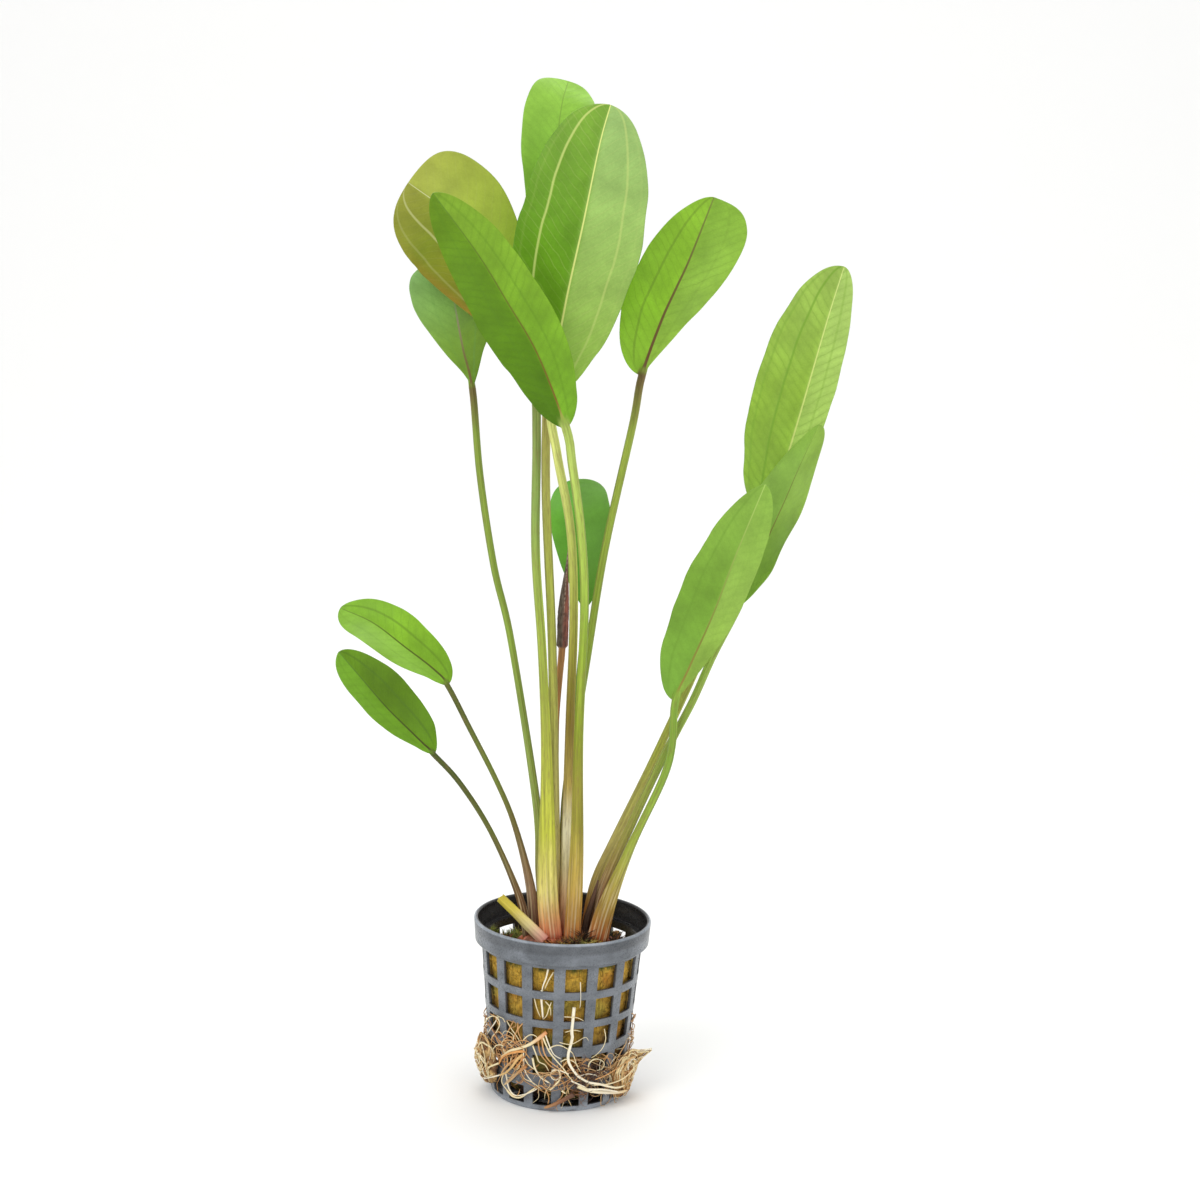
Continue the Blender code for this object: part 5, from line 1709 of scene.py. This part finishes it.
@dataclass
class Roots:
    """The roots on the outside of the pot: the main ones, and a mat of fine ones."""

    pot: NetPotForm = POT
    seed: int = 23
    ring_step: float = 0.7
    thinning: float = 0.45
    knottiness: float = 0.1
    default_out: float = 0.9
    strands: int = 120
    front_share: float = 0.34
    # Middle and spread of the bearings at the front, range of the others, and the heights that strands start at
    front_bearings: tuple[float, float] = (14, 30)
    other_bearings: tuple[float, float] = (70, 290)
    starts: tuple = (17.6, 15.0, 14.0, 12.6)
    strand_radii: tuple[float, float] = (0.11, 0.22)
    strand_tints: tuple = (CREAM, CREAM, TAN, "#e2c48c", "#b98a58", "#8f5f3c")
    # Dark hairs at the foot of the thick root, and paler strands at the left and at the right: the middle's
    # bearing and its spread, the middle's height and its spread, how many, their radius and their colours
    tangles: tuple = (
        (24, 6, 10.5, 1.8, 60, 0.11, ("#5a4030", "#4a3226", "#7a5236")),
        (-42, 8, 17, 4.5, 50, 0.2, (CREAM, TAN, "#d9a468", "#b98a58")),
        (50, 8, 9, 3.0, 45, 0.15, (CREAM, PALE, "#c8a06a")),
    )

    def photographed(self) -> list[RootForm]:
        """Gives the finer roots that the front shows one by one."""
        return [
            RootForm("", radius, tuple((*spot, self.default_out)[:3] for spot in spots), (colour, colour))
            for radius, colour, *spots in DRAWN_ROOTS
        ]

    def wandering(self) -> list[RootForm]:
        """Draws the fine roots that come out of the lower slots all round and wander down the wall.

        Returns:
            One form for each root.
        """
        draw = random.Random(self.seed)
        roots = []
        for _ in range(self.strands):
            front = draw.random() < self.front_share
            bearing = draw.gauss(*self.front_bearings) if front else draw.uniform(*self.other_bearings)
            height = draw.choice(self.starts) + draw.uniform(-1.5, 1.5)
            height += 0.0 if front else draw.uniform(0, 9)
            swing = draw.uniform(-10, 10)
            points = [(bearing, height, -0.9), (bearing + swing * 0.2, height - 0.6, 0.3)]
            turn = draw.uniform(-2.4, 2.4)
            for _step in range(draw.randint(3, 7)):
                turn += draw.uniform(-1.2, 1.2)
                bearing += swing + 7 * math.sin(turn)
                swing *= 0.7
                height += -2.2 * abs(math.cos(turn)) + draw.uniform(-1.4, 1.5)
                height = min(max(height, 0.7), 27.0)
                points.append((bearing, height, draw.uniform(0.3, 1.4)))
            colour = draw.choice(self.strand_tints)
            roots.append(RootForm("", draw.uniform(*self.strand_radii), tuple(points), (TAN, colour)))
        for row in self.tangles:
            roots += self.tangle(draw, row)
        return roots

    def tangle(self, draw: random.Random, row: tuple) -> list[RootForm]:
        """Draws a tangle of short curled roots on the wall.

        Args:
            draw: The source of random numbers.
            row: One row of tangles.

        Returns:
            One form for each root.
        """
        bearing, spread, height, rise, count, thick, colours = row
        roots = []
        for _ in range(count):
            spot = Vector((draw.gauss(bearing, spread), draw.gauss(height, rise), draw.uniform(0.3, 1.4)))
            way, bend = draw.uniform(0, 2 * math.pi), draw.uniform(-0.9, 0.9)
            points = []
            for _step in range(6):
                points.append((spot.x, min(max(spot.y, 0.8), 28.0), spot.z))
                spot += Vector((4.2 * math.cos(way), 1.6 * math.sin(way), draw.uniform(-0.3, 0.35)))
                way += bend + draw.uniform(-0.3, 0.3)
            colour = draw.choice(colours)
            roots.append(RootForm("", thick * draw.uniform(0.7, 1.2), tuple(points), (colour, colour)))
        return roots

    def add(self, draft: Draft, root: RootForm, sides: int) -> None:
        """Adds one root to a mesh, a little knotted and thinning to its end.

        Args:
            draft: The mesh in the making.
            root: What to add.
            sides: How many sides it has.
        """
        route = Route([self.pot.on_wall(*point) for point in root.points])
        stops = [linear(colour) for colour in root.tints]
        rings = max(8, round(route.length / self.ring_step))
        radius = partial(self.radius, root, route.length)
        draft.tube(route, radius, rings, sides, lambda share: {"tint": between(stops, share)})

    def radius(self, root: RootForm, length: float, share: float) -> float:
        """Gives a root's radius, a little knotted, with a round end."""
        knot = 1 + self.knottiness * noise.noise(Vector((share * length * 0.6, root.radius * 40, 0)))
        return root.radius * knot * (1 - self.thinning * share) * math.sqrt(min(1.0, 0.2 + (1 - share) * 12))

    def build(self) -> list[Piece]:
        """Makes the main roots and the mat of fine ones.

        Returns:
            Their objects.
        """
        made = []
        for root in MAIN_ROOTS:
            draft = Draft()
            self.add(draft, root, sides=14)
            made.append(draft.to_object(f"grown_{root.name}", ROOT_SKIN, root.slot, [root.name]))
        fine = Draft()
        for root in self.photographed():
            self.add(fine, root, sides=8)
        for root in self.wandering():
            self.add(fine, root, sides=5)
        made.append(fine.to_object("fine_roots", ROOT_SKIN, "root_cream", []))
        return made


@dataclass
class RootClump:
    """A clump of tangled roots: a low felt of root hairs with loops of fine roots over it."""

    node: str
    centre: Point
    thickness: float
    outline: tuple
    loops: int
    seed: int
    pot: NetPotForm = POT
    sides: int = 72
    # How far each ring of the felt lies towards the outline, and how high it rises
    section: tuple = (
        *((0.5, -0.2), (0.85, -0.1), (0.96, 0.06), (0.9, 0.3), (0.75, 0.5), (0.55, 0.7), (0.35, 0.8), (0.12, 0.84)),
    )
    felt_tints: tuple[str, str] = ("#6e4a2c", "#c8a468")
    loop_radii: tuple = (0.12, 0.16, 0.2, 0.26, 0.4)
    loop_tints: tuple = (CREAM, "#e6cf9c", "#d9b57c", TAN, PALE, "#a8743f")
    loop_ring_step: float = 0.8

    def inside(self, share: float, turn: float) -> tuple[float, float, float]:
        """Gives a place inside the outline.

        Args:
            share: How far it lies towards the outline.
            turn: Which way it lies, as a share of the outline.

        Returns:
            Its bearing, its height, and how far out the outline puts it.
        """
        count = len(self.outline)
        place = (turn % 1.0) * count
        low = int(place) % count
        edge = mixed(self.outline[low], self.outline[(low + 1) % count], place - int(place))
        bearing = self.centre[0] + (edge[0] - self.centre[0]) * share
        height = self.centre[1] + (edge[1] - self.centre[1]) * share
        return bearing, height, edge[2] * share**2

    def build(self) -> Piece:
        """Makes the clump as one piece.

        Returns:
            Its object.
        """
        draft, draw = Draft(), random.Random(self.seed)
        draft.loft(self.section, self.sides, self.corner)
        for _ in range(self.loops):
            self.add_loop(draft, draw)
        name = self.node.replace("root_mat", "tangled_roots")
        return draft.to_object(name, ROOT_FELT, "root_tan", [self.node])

    def corner(self, station: tuple[float, float], turn: float) -> tuple[Vector, dict]:
        """Gives a point of the felt and what it holds.

        Args:
            station: How far the ring lies towards the outline, and how high it rises.
            turn: Where the point lies round the ring, in radians.

        Returns:
            The point, and its grain and tint.
        """
        share, rise = station
        place = turn / (2 * math.pi)
        wild = 1 + 0.1 * noise.noise(Vector((6 * math.cos(6.28 * place), 6 * math.sin(6.28 * place), self.seed)))
        bearing, height, out = self.inside(share * wild, place)
        lump = 1 + 0.5 * noise.fractal(Vector((bearing * 0.12, height * 0.35, self.seed)), 0.8, 2.0, 3)
        risen = max(rise, 0.0) * self.thickness * lump * 0.75
        point = self.pot.on_wall(bearing, max(height, 0.5), 0.5 + out + risen)
        dark, pale = (linear(colour) for colour in self.felt_tints)
        return point, {"grain": tuple(point), "tint": mixed(dark, pale, eased(0.5 + 1.6 * noise.noise(point * 0.45)))}

    def add_loop(self, draft: Draft, draw: random.Random) -> None:
        """Adds one fine root that loops over the clump.

        Args:
            draft: The clump's mesh.
            draw: The source of random numbers.
        """
        points = []
        turn, share = draw.random(), draw.uniform(0.1, 0.85)
        swing = draw.choice((-1, 1)) * draw.uniform(0.02, 0.07)
        drift = draw.uniform(-0.14, 0.14)
        for _ in range(draw.randint(5, 9)):
            bearing, height, out = self.inside(share, turn)
            rise = self.thickness * (1 - share**2) * 0.75 + draw.uniform(0.2, 0.9)
            points.append(self.pot.on_wall(bearing, max(height, 0.6), 0.6 + out + rise))
            turn += swing + draw.uniform(-0.012, 0.012)
            drift += draw.uniform(-0.08, 0.08)
            share = min(max(share + drift, 0.05), 0.97)
        thick = draw.choice(self.loop_radii) * draw.uniform(0.85, 1.1)
        colour = linear(draw.choice(self.loop_tints))
        route = Route(points)
        rings = max(10, round(route.length / self.loop_ring_step))
        draft.tube(route, lambda part: thick * (1 - 0.4 * part), rings, 6, lambda part: {"tint": colour})


# The clumps at the left and at the right
CLUMPS: tuple[RootClump, ...] = (
    RootClump(
        "root_mat_left", (-78, 11), 4.2,
        (
            (-52, 12, 0.5), (-56, 17, 0.6), (-68, 19.6, 0.8), (-82, 18.6, 1.0), (-98, 16, 0.6), (-106, 10, 0.4),
            (-96, 4.6, 0.6), (-82, 3.4, 1.0), (-68, 3.2, 0.8), (-56, 5.4, 0.5),
        ),
        75, 3,
    ),
    RootClump(
        "root_mat_right", (72, 9.4), 2.6,
        (
            (46, 11, 0.5), (54, 15.4, 0.6), (66, 17.2, 1.0), (78, 15.6, 3.4), (88, 14.6, 6.8), (94, 10, 3.0),
            (92, 5, 1.0), (80, 2, 0.8), (66, 0.8, 0.7), (54, 2, 0.5),
        ),
        85, 8,
    ),
)


@dataclass
class Studio:
    """Pale floor, soft light and the camera of the photograph's view."""

    camera_place: Point = (0.008, -0.810, 0.3165)
    camera_pitch: float = 11.16
    camera_roll: float = 2.09
    lens: float = 81.56
    # The floor, in millimetres: its front, where it bends up and how round, its top and its half width
    floor_front: float = -2600.0
    floor_bend: float = 900.0
    bend_radius: float = 600.0
    bend_steps: int = 12
    backdrop_top: float = 3200.0
    half_width: float = 3200.0
    # How far the floor lies below the pot's foot, so that the two don't share a plane
    floor_drop: float = 0.02
    floor_colour: str = "#fbfbfa"
    floor_roughness: float = 0.9
    world_strength: float = 0.75
    # Place in metres, size and power of each softbox, and what they all point at
    lights: tuple = (
        ("key_softbox", (-0.7, -0.9, 1.1), 0.9, 7.0),
        ("fill_softbox", (1.0, -0.8, 0.6), 1.1, 3.0),
        ("top_softbox", (0.1, 0.5, 1.3), 1.0, 5.0),
    )
    lit: Point = (0, 0, 0.15)

    def build(self) -> None:
        """Makes the floor, the world, the lights and the camera, and shows colours as they are."""
        bpy.context.scene.view_settings.view_transform = "Standard"
        self.make_floor()
        self.make_lights()
        self.make_camera()

    def make_floor(self) -> None:
        """Makes a pale floor that curves up into a backdrop."""
        draft, rings = Draft(), []
        bend, radius = self.floor_bend, self.bend_radius
        section = [(self.floor_front, 0.0), (bend, 0.0)]
        for step in range(1, self.bend_steps + 1):
            turn = step / self.bend_steps * math.pi / 2
            section.append((bend + radius * math.sin(turn), radius * (1 - math.cos(turn))))
        section.append((bend + radius, self.backdrop_top))
        for y, z in section:
            rings.append([draft.add((x, y, z - self.floor_drop)) for x in (-self.half_width, self.half_width)])
        for low, high in zip(rings, rings[1:]):
            draft.faces.append((low[0], low[1], high[1], high[0]))
        mesh = bpy.data.meshes.new("studio_floor")
        mesh.from_pydata([point * MM for point in draft.points], [], draft.faces)
        mesh.shade_smooth()
        material = bpy.data.materials.new("matt_backdrop_paper")
        material.use_nodes = True
        shader = material.node_tree.nodes["Principled BSDF"]
        shader.inputs["Base Color"].default_value = linear(self.floor_colour)
        shader.inputs["Roughness"].default_value = self.floor_roughness
        mesh.materials.append(material)
        floor = bpy.data.objects.new("studio_floor", mesh)
        bpy.context.scene.collection.objects.link(floor)

    def make_lights(self) -> None:
        """Makes a white world and three large soft lights."""
        world = bpy.data.worlds.new("soft_white")
        world.use_nodes = True
        back = world.node_tree.nodes["Background"]
        back.inputs["Color"].default_value = (1.0, 1.0, 1.0, 1.0)
        back.inputs["Strength"].default_value = self.world_strength
        bpy.context.scene.world = world
        for name, place, size, power in self.lights:
            light = bpy.data.lights.new(name, "AREA")
            light.shape = "DISK"
            light.size = size
            light.energy = power
            lamp = bpy.data.objects.new(name, light)
            lamp.location = place
            aim = Vector(self.lit) - Vector(place)
            lamp.rotation_euler = aim.to_track_quat("-Z", "Y").to_euler()
            bpy.context.scene.collection.objects.link(lamp)

    def make_camera(self) -> None:
        """Makes the camera that was fitted to the pot in the photograph."""
        camera = bpy.data.cameras.new("photograph_view")
        camera.sensor_width = 36.0
        camera.lens = self.lens
        camera.clip_start = 0.01
        eye = bpy.data.objects.new("photograph_view", camera)
        tilt = Matrix.Rotation(math.radians(90 - self.camera_pitch), 4, "X")
        turn = Matrix.Rotation(math.radians(self.camera_roll), 4, "Z")
        eye.matrix_world = Matrix.Translation(self.camera_place) @ tilt @ turn
        bpy.context.scene.collection.objects.link(eye)
        bpy.context.scene.camera = eye


@dataclass
class PottedEchinodorus:
    """The whole part, sub-assembly by sub-assembly."""

    pieces: list = field(default_factory=list)

    def build(self) -> None:
        """Builds every sub-assembly in order."""
        leaves = [Leaf(form) for form in LEAVES]
        above = (NetPot(), RockwoolPlug(), Crown(), *leaves, DeadLeaf(), *STUMPS, MossTuft(), GravelBit())
        self.pieces.extend(part.build() for part in above)
        self.pieces.extend(Roots().build())
        self.pieces.extend(clump.build() for clump in CLUMPS)


def main() -> None:
    """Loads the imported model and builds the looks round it."""
    logging.basicConfig(level=logging.INFO, format="%(message)s")
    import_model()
    Studio().build()
    plant = PottedEchinodorus()
    plant.build()
    LOG.info("%d pieces", len(plant.pieces))
    bpy.context.view_layer.update()


if __name__ == "__main__":
    main()
